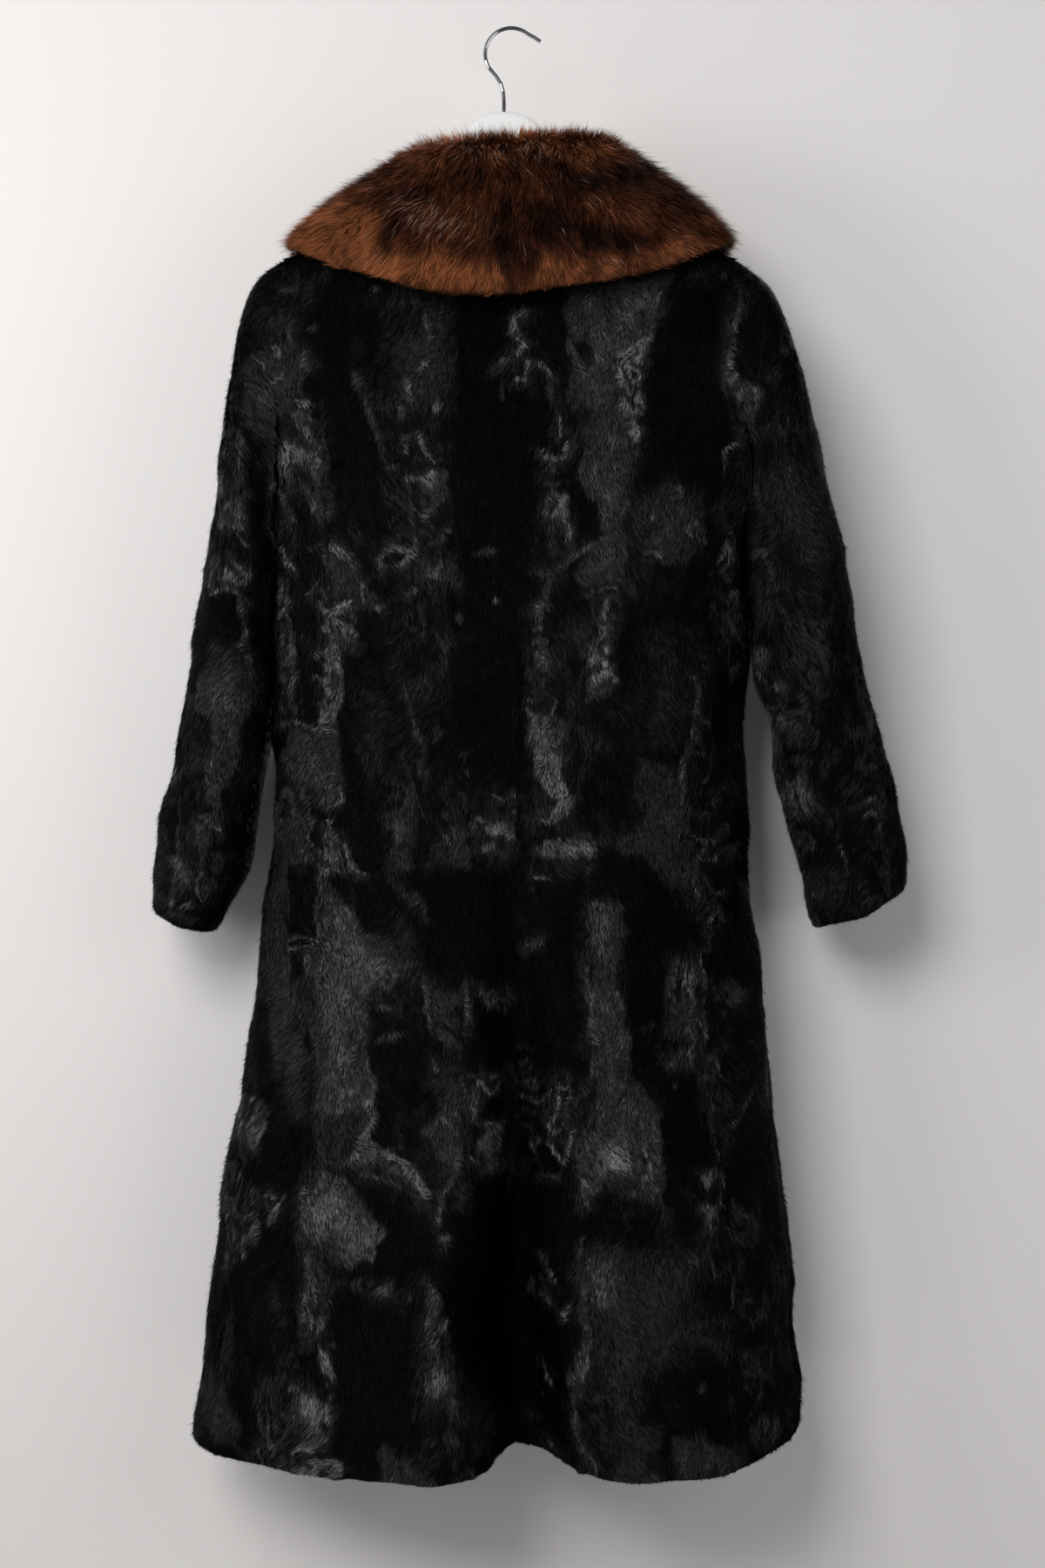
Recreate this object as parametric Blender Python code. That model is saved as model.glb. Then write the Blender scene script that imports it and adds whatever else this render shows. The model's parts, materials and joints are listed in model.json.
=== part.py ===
"""A long fur coat with a wide fold-over collar, hung on a wooden hanger.

The coat faces -Y and its back faces +Y, +X is the wearer's left and +Z is up, in metres.
The origin is where the hanger's hook rests on whatever holds it.

The body of the coat is one smooth loop at each height, cut into panels along its seams. A place
on the loop is its "turn": 0 at the centre back, 1 at the left side, 2 at the centre front and -1
at the right side. Each panel is a wall between the outer skin and the same skin moved inwards.
"""
import math

import bmesh
import bpy
import numpy as np

NAME = "fur_coat_on_hanger"

# --- sizes of the whole coat ---
SEAM_GAP = 0.0003
PELT = 0.006  # hide and short pile of the black fur together
NECK_WALL = 0.0025  # the body's hide where it is sewn under the collar
HEM_HEIGHT = -1.221
FAN_HEIGHT = -0.50  # above this the rows of a panel spread out towards its top edge

# The loop of the body at each height: how far it reaches to each side of the plane x = 0, how deep
# it is behind and in front of its side line, where that line is, and how square its corners are.
BODY_COLUMNS = "height left right back front side_y back_power front_power"
BODY_ROWS = (
    (-1.225, 0.283, 0.259, 0.160, 0.064, -0.020, 2.00, 2.6),
    (-1.106, 0.266, 0.250, 0.150, 0.063, -0.018, 2.05, 2.6),
    (-0.954, 0.246, 0.235, 0.126, 0.060, -0.014, 2.10, 2.6),
    (-0.800, 0.223, 0.218, 0.100, 0.056, -0.010, 2.20, 2.6),
    (-0.700, 0.212, 0.207, 0.088, 0.055, -0.007, 2.30, 2.6),
    (-0.600, 0.205, 0.203, 0.078, 0.054, -0.004, 2.45, 2.6),
    (-0.500, 0.203, 0.202, 0.073, 0.055, -0.002, 2.60, 2.7),
    (-0.450, 0.204, 0.204, 0.072, 0.056, 0.000, 2.80, 2.8),
    (-0.400, 0.224, 0.224, 0.071, 0.057, 0.000, 3.20, 3.0),
    (-0.360, 0.236, 0.236, 0.069, 0.057, 0.000, 3.40, 3.2),
    (-0.300, 0.243, 0.243, 0.066, 0.055, 0.000, 3.40, 3.4),
    (-0.200, 0.245, 0.245, 0.059, 0.052, 0.000, 3.40, 3.4),
    (-0.120, 0.245, 0.245, 0.052, 0.050, 0.000, 3.40, 3.4),
)

# The fold that hangs down the centre back: its depth, the two edges of its floor, and how far each
# of its banks runs from there.
FOLD_COLUMNS = "height depth left_edge right_edge left_bank right_bank"
FOLD_ROWS = (
    (-1.225, 0.118, 0.004, -0.031, 0.070, 0.080),
    (-1.100, 0.096, 0.004, -0.018, 0.062, 0.062),
    (-1.000, 0.070, 0.003, -0.013, 0.054, 0.052),
    (-0.900, 0.042, 0.002, -0.011, 0.046, 0.044),
    (-0.800, 0.018, 0.000, -0.011, 0.040, 0.038),
    (-0.700, 0.000, -0.002, -0.012, 0.036, 0.036),
)
FOLD_BANK_POWER = 3.2

# Soft flutes of the skirt, behind (+1) and in front (-1): place as a share of the half width,
# depth at the hem, width, and the height where they start.
FLUTE_COLUMNS = "share depth width start face"
FLUTE_ROWS = (
    (0.56, 0.007, 0.026, -0.86, 1),
    (-0.50, 0.006, 0.022, -0.90, 1),
    (-0.72, 0.008, 0.020, -0.80, 1),
    (0.45, 0.010, 0.034, -0.72, -1),
    (-0.55, 0.011, 0.036, -0.76, -1),
    (0.74, 0.007, 0.022, -0.88, -1),
)

# The hem's height round the coat.
HEM_COLUMNS = "turn height"
HEM_ROWS = (
    (-2.20, -1.2130),
    (-2.00, -1.2120),
    (-1.35, -1.2060),
    (-1.00, -1.2025),
    (-0.83, -1.2045),
    (-0.67, -1.2145),
    (-0.54, -1.2215),
    (-0.42, -1.2260),
    (-0.27, -1.2210),
    (-0.12, -1.2190),
    (-0.07, -1.2200),
    (-0.01, -1.2135),
    (0.03, -1.2240),
    (0.08, -1.2210),
    (0.17, -1.2220),
    (0.31, -1.2190),
    (0.40, -1.2215),
    (0.51, -1.2195),
    (0.65, -1.2155),
    (0.83, -1.2155),
    (1.00, -1.2160),
    (1.40, -1.2140),
    (2.00, -1.2120),
    (2.20, -1.2130),
)

# Seams that run down the body, as a share of the half width: between back and side panel, and
# between side panel and front, on each side. They end in the armhole.
SEAM_COLUMNS = "height back_left back_right front_left front_right"
SEAM_ROWS = (
    (-1.225, 0.640, 0.720, 0.760, 0.760),
    (-0.950, 0.650, 0.740, 0.750, 0.750),
    (-0.730, 0.690, 0.770, 0.750, 0.750),
    (-0.560, 0.725, 0.785, 0.760, 0.760),
    (-0.460, 0.770, 0.800, 0.790, 0.790),
)
ARMHOLE_CORNER_SHARE = 0.48  # where those seams end, from FAN_HEIGHT to the shoulder

CENTRE_SEAM_COLUMNS = "height x"
CENTRE_SEAM_ROWS = (
    (-1.225, -0.004),
    (-0.900, -0.004),
    (-0.700, -0.009),
    (-0.500, -0.012),
    (-0.280, -0.016),
    (-0.160, -0.008),
)

# Shoulders, armholes and neck
ARMHOLE_TOP_X = 0.192
ARMHOLE_BOTTOM_X = 0.2025
SHOULDER_HEIGHT = -0.196
UNDERARM_HEIGHT = -0.452
SHOULDER_ROUND = 0.034  # how far below the shoulder seam the body reaches its whole depth
NECK_HEIGHT = -0.165
NECK_TILT = 0.33  # the neck seam rises towards the back
NECK_HALF_WIDTH = 0.085
NECK_BACK = 0.046
NECK_FRONT = 0.054
NECK_POWER = 2.3
NECK_RIDGE_CURVE = 6.0  # how fast the shoulder line rises inside the neck

# Fronts: the right one laps over the left one.
LAP_EDGE = 0.045
UNDER_LAP_EDGE = -0.030
LAP_RECESS = 0.0072
LAP_STEP_START = 0.080
LAP_STEP_END = 0.050

# --- sleeves: each ring hangs between an outer and an inner point ---
# station, outer point, inner point, half depth in Y, middle in Y, and how much higher its front
# is than its back. The first ring is the armhole.
SLEEVE_COLUMNS = "station outer_x outer_z inner_x inner_z deep middle_y pitch"
LEFT_SLEEVE_ROWS = (
    (0, 0.1920, -0.1960, 0.2025, -0.4520, 0.062, 0.000, 0.00),
    (1, 0.2125, -0.2080, 0.2036, -0.4528, 0.063, 0.001, 0.00),
    (2, 0.2270, -0.2300, 0.2043, -0.4542, 0.064, 0.002, 0.00),
    (3, 0.2370, -0.2680, 0.2049, -0.4562, 0.066, 0.003, 0.00),
    (4, 0.2420, -0.3150, 0.2055, -0.4600, 0.068, 0.003, 0.00),
    (5, 0.2485, -0.3560, 0.2062, -0.4660, 0.069, 0.002, 0.00),
    (6, 0.2552, -0.3980, 0.2070, -0.4740, 0.069, 0.001, 0.00),
    (7, 0.2610, -0.4420, 0.2078, -0.4900, 0.068, -0.001, 0.00),
    (8, 0.2695, -0.4870, 0.2085, -0.5180, 0.066, -0.004, 0.00),
    (9, 0.2760, -0.5310, 0.2090, -0.5540, 0.064, -0.008, 0.02),
    (10, 0.2840, -0.5760, 0.2100, -0.5960, 0.062, -0.013, 0.05),
    (11, 0.2937, -0.6210, 0.2135, -0.6410, 0.060, -0.020, 0.09),
    (12, 0.3035, -0.6660, 0.2200, -0.6890, 0.058, -0.028, 0.13),
    (13, 0.3115, -0.7120, 0.2312, -0.7360, 0.056, -0.037, 0.17),
    (14, 0.3170, -0.7530, 0.2520, -0.7760, 0.054, -0.045, 0.20),
)
RIGHT_SLEEVE_ROWS = (
    (0, 0.1920, -0.1960, 0.2025, -0.4520, 0.062, 0.000, 0.00),
    (1, 0.2125, -0.2095, 0.2036, -0.4528, 0.063, 0.001, 0.00),
    (2, 0.2290, -0.2270, 0.2043, -0.4542, 0.064, 0.002, 0.00),
    (3, 0.2435, -0.2650, 0.2049, -0.4562, 0.066, 0.003, 0.00),
    (4, 0.2565, -0.3100, 0.2056, -0.4600, 0.068, 0.003, 0.00),
    (5, 0.2655, -0.3520, 0.2065, -0.4660, 0.069, 0.002, 0.00),
    (6, 0.2755, -0.3970, 0.2075, -0.4760, 0.069, 0.001, 0.00),
    (7, 0.2885, -0.4400, 0.2085, -0.4950, 0.068, 0.000, 0.00),
    (8, 0.2980, -0.4850, 0.2100, -0.5240, 0.066, -0.003, 0.00),
    (9, 0.3075, -0.5300, 0.2135, -0.5620, 0.064, -0.007, 0.02),
    (10, 0.3165, -0.5750, 0.2200, -0.6050, 0.062, -0.012, 0.04),
    (11, 0.3275, -0.6200, 0.2285, -0.6480, 0.060, -0.019, 0.07),
    (12, 0.3388, -0.6600, 0.2395, -0.6920, 0.058, -0.027, 0.10),
    (13, 0.3475, -0.7000, 0.2510, -0.7370, 0.056, -0.036, 0.12),
    (14, 0.3500, -0.7350, 0.2628, -0.7760, 0.054, -0.044, 0.14),
)
SLEEVE_RINGS_BLENDED = 5.0  # stations over which the armhole's shape becomes a sleeve's
SLEEVE_POWER = 2.25

# The two seams of a sleeve, in degrees round it from its outer point towards its back.
SLEEVE_SEAM_COLUMNS = "station left_hind left_fore right_hind right_fore"
SLEEVE_SEAM_ROWS = (
    (0, 74, -84, 84, -84),
    (7, 66, -96, 92, -96),
    (14, 50, -112, 106, -108),
)

# Creases of the sleeves: station, degrees round, depth, height in stations, width in degrees.
CREASE_COLUMNS = "station degrees depth tall wide"
CREASE_ROWS = (
    (7.0, 150, 0.0035, 0.55, 70),
    (8.4, 100, 0.0030, 0.50, 60),
    (9.8, 165, 0.0030, 0.50, 60),
    (6.0, 40, 0.0025, 0.60, 55),
    (8.2, -80, 0.0035, 0.60, 70),
    (9.9, -130, 0.0030, 0.55, 60),
)

# --- collar: place along it from the centre back (0) over the shoulder (1) to its front end (2) ---
# how far out and up its fold lies from the neck seam, how much higher the right half's is, its
# outer edge and that edge's height in each half, how much the fall bulges, and how thick it is.
COLLAR_COLUMNS = "place fold_out fold_up lift edge_x edge_y edge_left edge_right bulge thick"
COLLAR_ROWS = (
    (0.00, 0.008, 0.034, 0.000, 0.004, 0.0820, -0.2405, -0.2405, 0.010, 0.016),
    (0.30, 0.008, 0.034, 0.003, 0.060, 0.0800, -0.2400, -0.2320, 0.011, 0.016),
    (0.55, 0.008, 0.034, 0.007, 0.112, 0.0740, -0.2240, -0.2215, 0.011, 0.016),
    (0.78, 0.007, 0.036, 0.011, 0.160, 0.0580, -0.2090, -0.2040, 0.008, 0.016),
    (0.92, 0.006, 0.037, 0.011, 0.186, 0.0300, -0.1920, -0.1885, 0.007, 0.016),
    (1.00, 0.006, 0.037, 0.011, 0.192, 0.0040, -0.1860, -0.1840, 0.007, 0.016),
    (1.10, 0.006, 0.038, 0.010, 0.187, -0.0320, -0.1930, -0.1930, 0.007, 0.016),
    (1.28, 0.007, 0.038, 0.007, 0.166, -0.0660, -0.2180, -0.2180, 0.011, 0.016),
    (1.55, 0.009, 0.038, 0.003, 0.124, -0.0860, -0.2560, -0.2560, 0.012, 0.016),
    (1.80, 0.010, 0.034, 0.000, 0.078, -0.0900, -0.2790, -0.2790, 0.012, 0.016),
    (2.00, 0.011, 0.032, 0.000, 0.028, -0.0900, -0.2720, -0.2720, 0.010, 0.016),
)
COLLAR_BEND_SHARE = 0.72  # where along the fall it bulges most
COLLAR_FRONT_X = 0.014  # each half starts this far from the centre front
COLLAR_FOLD_RADIUS = 0.0095
COLLAR_STAND_THICK = 0.006
COLLAR_EDGE_THICK = 0.009
COLLAR_INSET = 0.0012  # how far inside the neck seam the stand's outer side is
NECK_CLEARANCE = 0.0003

# --- hanger ---
HANGER_THICK = 0.014
HANGER_MIDDLE_X = 0.0055
HANGER_TOP = -0.0715
HANGER_ARM_END = 0.178
HANGER_CLEARANCE = 0.0022
HANGER_EDGE = 0.004
# The crown of the hanger, from its middle outwards: how far below its top it is.
CROWN_COLUMNS = "out drop"
CROWN_ROWS = ((0.0, 0.0), (0.012, 0.0012), (0.022, 0.0050), (0.031, 0.0135), (0.040, 0.0300))
CROWN_HALF_WIDTH = 0.0455
CROWN_FOOT_DROP = 0.062
ARM_HEIGHT_IN = 0.040
ARM_HEIGHT_END = 0.022

HOOK_WIRE = 0.0034
HOOK_LOOP_RADIUS = 0.0225
HOOK_LOOP_X = -0.00075
HOOK_BORE_CLEARANCE = 0.0003
HOOK_BORE_DEPTH = 0.018
HOOK_TIP = (-0.0262, -0.0102)

# --- finishes: colour, roughness, metallic ---
BLACK_FUR = ("black_fur", (0.006, 0.006, 0.007), 0.55, 0.0)
MINK = ("brown_mink", (0.085, 0.028, 0.014), 0.60, 0.0)
WHITE_PAINT = ("white_painted_wood", (0.80, 0.80, 0.78), 0.45, 0.0)
CHROME = ("chromed_wire", (0.62, 0.62, 0.63), 0.18, 1.0)

SIDES = {"left": 1.0, "right": -1.0}


class Table:
    """Rows of named columns, read at any value of the first column along a smooth curve."""

    def __init__(self, columns, rows):
        self.columns = columns.split()
        self.rows = np.array(rows, dtype=float)

    def __call__(self, column, at):
        key = self.rows[:, 0]
        value = self.rows[:, self.columns.index(column)]
        slope = np.gradient(value, key)
        at = np.clip(at, key[0], key[-1])
        i = np.clip(np.searchsorted(key, at, side="right") - 1, 0, len(key) - 2)
        step = key[i + 1] - key[i]
        u = (at - key[i]) / step
        start = value[i] * (1 + 2 * u) + slope[i] * step * u
        end = value[i + 1] * (3 - 2 * u) - slope[i + 1] * step * (1 - u)
        return start * (1 - u) ** 2 + end * u**2

    def each(self):
        """Each row as a dictionary of its columns."""
        return [dict(zip(self.columns, row)) for row in self.rows]


BODY = Table(BODY_COLUMNS, BODY_ROWS)
FOLD = Table(FOLD_COLUMNS, FOLD_ROWS)
FLUTES = Table(FLUTE_COLUMNS, FLUTE_ROWS)
HEM = Table(HEM_COLUMNS, HEM_ROWS)
CENTRE_SEAM = Table(CENTRE_SEAM_COLUMNS, CENTRE_SEAM_ROWS)
SLEEVES = {
    "left": Table(SLEEVE_COLUMNS, LEFT_SLEEVE_ROWS),
    "right": Table(SLEEVE_COLUMNS, RIGHT_SLEEVE_ROWS),
}
SLEEVE_SEAMS = Table(SLEEVE_SEAM_COLUMNS, SLEEVE_SEAM_ROWS)
CREASES = Table(CREASE_COLUMNS, CREASE_ROWS)
COLLAR = Table(COLLAR_COLUMNS, COLLAR_ROWS)
CROWN = Table(CROWN_COLUMNS, CROWN_ROWS)


def smoothstep(value):
    """0 up to 0, 1 from 1 on, and a soft ramp between."""
    value = np.clip(value, 0.0, 1.0)
    return value * value * (3 - 2 * value)


def mix(start, end, share):
    """The value at a share of the way from start to end."""
    return start + (end - start) * share


def unit(vectors):
    """Vectors of length one."""
    return vectors / np.maximum(np.linalg.norm(vectors, axis=-1, keepdims=True), 1e-12)


# --- the body's loop ---
def neck_depth(x, face):
    """How far the neck seam lies behind or in front of the shoulder line."""
    share = np.clip(np.abs(x) / NECK_HALF_WIDTH, 0, 1)
    reach = NECK_BACK if face > 0 else -NECK_FRONT
    return reach * (1 - share**NECK_POWER) ** (1 / NECK_POWER)


def shoulder_line(x):
    """Height of the shoulder seam outside the neck."""
    slope = (SHOULDER_HEIGHT - NECK_HEIGHT) / (ARMHOLE_TOP_X - NECK_HALF_WIDTH)
    return NECK_HEIGHT + slope * (np.abs(x) - NECK_HALF_WIDTH)


def ridge_height(x):
    """Height where the body's skin would turn over: the shoulder seam, and above the neck seam."""
    inside = np.minimum(np.abs(x) - NECK_HALF_WIDTH, 0.0)
    return shoulder_line(x) + NECK_RIDGE_CURVE * inside**2


def shoulder_rounding(x, height):
    """Share of the body's depth at a place near the shoulder line: 0 on it, 1 well below."""
    below = np.clip(ridge_height(x) - height, 0.0, SHOULDER_ROUND) / SHOULDER_ROUND
    return np.sqrt(1.0 - (1.0 - below) ** 2)


def fold_depth(x, height):
    """How far the centre-back fold sinks the skin at a place."""
    left, right = FOLD("left_edge", height), FOLD("right_edge", height)
    left_bank, right_bank = FOLD("left_bank", height), FOLD("right_bank", height)
    up_left = np.clip(1 - (x - left) / left_bank, 0, 1) ** FOLD_BANK_POWER
    up_right = np.clip(1 - (right - x) / right_bank, 0, 1) ** FOLD_BANK_POWER
    return FOLD("depth", height) * np.minimum(up_left, up_right)


def flute_depth(x, height, half, face):
    """How far the skirt's flutes sink the skin at a place."""
    total = np.zeros_like(x)
    for flute in FLUTES.each():
        if flute["face"] != face:
            continue
        grown = smoothstep((flute["start"] - height) / (flute["start"] - HEM_HEIGHT))
        away = (x - flute["share"] * half) / flute["width"]
        total = total + flute["depth"] * grown * np.exp(-(away**2))
    return total


def body_point(turn, height):
    """A point of the body's outer skin."""
    turn, height = np.broadcast_arrays(np.asarray(turn, float), np.asarray(height, float))
    angle = turn * math.pi / 2
    across, deep = np.sin(angle), np.cos(angle)
    behind = deep >= 0
    power = np.where(behind, BODY("back_power", height), BODY("front_power", height))
    half = np.where(across >= 0, BODY("left", height), BODY("right", height))
    depth = np.where(behind, BODY("back", height), BODY("front", height))
    x = half * np.sign(across) * np.abs(across) ** (2 / power)
    y = depth * np.sign(deep) * np.abs(deep) ** (2 / power) * shoulder_rounding(x, height)
    full = BODY("left", height)
    back_sink = fold_depth(x, height) + flute_depth(x, height, full, 1) * np.abs(deep)
    front_sink = flute_depth(x, height, full, -1) * np.abs(deep)
    y = y - np.where(behind, back_sink, -front_sink)
    return np.stack([x, y + BODY("side_y", height), height], axis=-1)


def turn_at_share(share, height, face):
    """The turn, from 0 to 2, of a place behind (face 1) or in front (face -1) of the side."""
    power = BODY("back_power" if face > 0 else "front_power", height)
    turn = np.arcsin(np.clip(share, 0, 1) ** (power / 2)) * 2 / math.pi
    return turn if face > 0 else 2 - turn


def turn_at(x, height, face):
    """The turn of a place behind (face 1) or in front (face -1), from its x."""
    x, height = np.broadcast_arrays(np.asarray(x, float), np.asarray(height, float))
    half = np.where(x >= 0, BODY("left", height), BODY("right", height))
    turn = turn_at_share(np.abs(x) / half, height, face)
    return np.sign(x) * turn if face > 0 else np.where(x >= 0, turn, 4 - turn)


def armhole_x(height):
    """The armhole lies in one slanting plane on each side: its distance from x = 0."""
    share = (height - SHOULDER_HEIGHT) / (UNDERARM_HEIGHT - SHOULDER_HEIGHT)
    return mix(ARMHOLE_TOP_X, ARMHOLE_BOTTOM_X, share)


def corner_height():
    """Where the seams of the side panel end in the armhole."""
    return mix(FAN_HEIGHT, SHOULDER_HEIGHT, ARMHOLE_CORNER_SHARE)


def panel_seam_share(side, face, height):
    """The seam beside a side panel, as a share of the half width; it ends on the armhole."""
    top = corner_height()
    half = Table("height half", [(r[0], r[1]) for r in BODY_ROWS])("half", top)
    column = {"left": (1, 3), "right": (2, 4)}[side][0 if face > 0 else 1]
    rows = [(row[0], row[column]) for row in SEAM_ROWS]
    rows.append((top, armhole_x(top) / half))
    return Table("height share", rows)("share", height)


def lap_recess(x):
    """How far the under layer of the closing lies inside the upper one."""
    return LAP_RECESS * smoothstep((LAP_STEP_START - x) / (LAP_STEP_START - LAP_STEP_END))


# --- walls ---
def wall(name, outer, inner, finish, collection):
    """One closed wall between two grids of points of the same shape."""
    rows, columns = outer.shape[:2]
    mesh = bmesh.new()
    skins = [
        [[mesh.verts.new(grid[r, c]) for c in range(columns)] for r in range(rows)]
        for grid in (outer, inner)
    ]
    front, back = skins
    for r in range(rows - 1):
        for c in range(columns - 1):
            mesh.faces.new((front[r][c], front[r][c + 1], front[r + 1][c + 1], front[r + 1][c]))
            mesh.faces.new((back[r][c], back[r + 1][c], back[r + 1][c + 1], back[r][c + 1]))
    for r in range(rows - 1):  # split the same way on both sides of a seam, so they never cross
        mesh.faces.new((front[r][0], front[r + 1][0], back[r + 1][0]))
        mesh.faces.new((front[r][0], back[r + 1][0], back[r][0]))
        mesh.faces.new((front[r + 1][-1], front[r][-1], back[r + 1][-1]))
        mesh.faces.new((front[r][-1], back[r][-1], back[r + 1][-1]))
    for c in range(columns - 1):
        mesh.faces.new((front[0][c + 1], front[0][c], back[0][c], back[0][c + 1]))
        mesh.faces.new((front[-1][c], front[-1][c + 1], back[-1][c + 1], back[-1][c]))
    if mesh.calc_volume(signed=True) < 0:
        bmesh.ops.reverse_faces(mesh, faces=mesh.faces)
    data = bpy.data.meshes.new(name)
    mesh.to_mesh(data)
    mesh.free()
    return place(name, data, finish, collection)


def place(name, data, finish, collection):
    """A named object of the model, shaded smooth, in its finish."""
    piece = bpy.data.objects.new(name, data)
    collection.objects.link(piece)
    data.materials.append(material(*finish))
    data.shade_smooth()
    data.set_sharp_from_angle(angle=math.radians(40))
    return piece


def material(name, colour, roughness, metallic):
    """A Principled material, made once and shared."""
    made = bpy.data.materials.get(name)
    if made:
        return made
    made = bpy.data.materials.new(name)
    made.use_nodes = True
    shader = made.node_tree.nodes["Principled BSDF"]
    shader.inputs["Base Color"].default_value = (*colour, 1.0)
    shader.inputs["Roughness"].default_value = roughness
    shader.inputs["Metallic"].default_value = metallic
    return made


def without(vectors, normal):
    """Vectors with their share along a plane's normal taken out, so they lie in the plane."""
    normal = unit(np.asarray(normal, float))
    return vectors - (vectors * normal).sum(axis=-1, keepdims=True) * normal


def part_seam(outer, inner, edge):
    """Moves the first or last column of both skins half a seam gap back from the seam."""
    own, neighbour = {"first": (0, 1), "last": (-1, -2)}[edge]
    for grid in (outer, inner):
        grid[:, own] += unit(grid[:, neighbour] - grid[:, own]) * SEAM_GAP / 2


def skin_normals(point, first, second, step_first, step_second):
    """Normals of a skin given as a function of two values, by small steps along both."""
    along = point(first + step_first, second) - point(first - step_first, second)
    up = point(first, second + step_second) - point(first, second - step_second)
    return unit(np.cross(along, up))


# --- panels of the body ---
def row_shares(rows_below, shares_above):
    """Rows of a panel: (below, above) shares, below the fan height first."""
    below = [(share, 0.0) for share in np.linspace(0, 1, rows_below + 1)]
    return below + [(1.0, share) for share in shares_above]


ROWS_BELOW = 17
SHARES_ABOVE = (0.16, 0.32, ARMHOLE_CORNER_SHARE, 0.62, 0.74, 0.84, 0.91, 0.96, 0.99, 1.0)
ROWS = row_shares(ROWS_BELOW, SHARES_ABOVE)
CORNER_ROW = ROWS_BELOW + 1 + SHARES_ABOVE.index(ARMHOLE_CORNER_SHARE)
FINE = 160  # points of a row from which its columns are taken
NECK_BEND_START = 0.70  # from here up a panel bends to the neck seam, at the middle of the coat
NECK_BEND_LAST = 0.985  # and at the shoulder


def middle_panel(side, face, middle_x, neck_cells, shoulder_cells, recess=None):
    """Outer skin of a back or front panel: rows of turns, heights and a shift in Y.

    middle_x gives the x of its edge at the middle of the coat at a height.
    """
    sign = SIDES[side]
    cells = neck_cells + shoulder_cells
    neck_share = neck_cells / cells
    fine = np.linspace(0, 1, FINE)
    neck_turn = np.clip(fine / neck_share, 0, 1)
    start = middle_x(NECK_HEIGHT) * sign / NECK_HALF_WIDTH
    start_turn = np.sign(start) * np.arcsin(abs(start) ** (NECK_POWER / 2))
    turn = mix(start_turn, math.pi / 2, neck_turn)
    neck_x = NECK_HALF_WIDTH * np.sign(turn) * np.abs(np.sin(turn)) ** (2 / NECK_POWER)
    out = np.clip((fine - neck_share) / (1 - neck_share), 0, 1)
    top_x = np.where(fine < neck_share, neck_x, mix(NECK_HALF_WIDTH, ARMHOLE_TOP_X, out))
    in_neck = fine < neck_share - 1e-9
    sunk = 0.0 if recess is None else recess(top_x * sign)
    top_y = np.where(in_neck, neck_depth(top_x, face) - face * sunk, 0.0)
    top_z = np.where(in_neck, NECK_HEIGHT + NECK_TILT * top_y, shoulder_line(top_x))

    seam_low = panel_seam_share(side, face, HEM_HEIGHT) * BODY(side, HEM_HEIGHT)
    hem_x = mix(middle_x(HEM_HEIGHT), sign * seam_low, fine)
    hem_turn = turn_at(hem_x, HEM_HEIGHT, face)
    hem_z = HEM("height", np.where(hem_turn > 2.2, hem_turn - 4, hem_turn))

    def fine_row(below, above):
        height = np.where(
            above > 0, mix(FAN_HEIGHT, top_z, above), mix(hem_z, FAN_HEIGHT, below)
        )
        if above <= ARMHOLE_CORNER_SHARE:
            edge = panel_seam_share(side, face, height[-1]) * BODY(side, height[-1])
        else:
            edge = armhole_x(height[-1])
        straight = mix(middle_x(height[0]) * sign, edge, fine)
        x = mix(straight, top_x, smoothstep(above)) * sign
        x[-1] = edge * sign
        return x, height

    def skin(x, height, to_neck, neck_y):
        base = body_point(turn_at(x, height, face), height)
        if recess is not None:
            base[..., 1] -= face * recess(x)
        base[..., 1] = mix(base[..., 1], neck_y, to_neck)
        return base

    bend_start = mix(NECK_BEND_START, NECK_BEND_LAST, np.clip(fine / neck_share, 0, 1) ** 3)
    rows = []
    for below, above in ROWS:
        x, height = fine_row(below, above)
        to_neck = np.where(in_neck, smoothstep((above - bend_start) / (1 - bend_start)), 0.0)
        points = skin(x, height, to_neck, top_y)
        lengths = np.concatenate([[0], np.cumsum(np.linalg.norm(np.diff(points, axis=0), axis=1))])
        even = np.interp(np.linspace(0, 1, cells + 1), lengths / lengths[-1], fine)
        at = mix(even, np.linspace(0, 1, cells + 1), smoothstep(above / 0.6))
        rows.append([np.interp(at, fine, values) for values in (x, height, to_neck, top_y)])
    x, height, to_neck, neck_y = (np.array([row[i] for row in rows]) for i in range(4))

    def point(at_x, at_height):
        return skin(at_x, at_height, to_neck, neck_y)

    outer = point(x, height)
    normals = -face * skin_normals(point, x, height, 2e-4, 4e-4)
    across, upwards = np.gradient(outer, axis=1), np.gradient(outer, axis=0)
    bent = -face * sign * unit(np.cross(across, upwards))
    bent[:, 0] = unit(bent[:, 0] * [0, 1, 1])
    normals[CORNER_ROW + 1 :] = bent[CORNER_ROW + 1 :]
    beside_neck = np.linspace(0, 1, cells + 1) - neck_share
    thinned = smoothstep((np.array(ROWS)[:, 1:] - 0.8) / 0.2) * (1 - smoothstep(beside_neck / 0.2))
    return outer, normals, mix(PELT, NECK_WALL, thinned)[..., None], neck_cells


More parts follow.
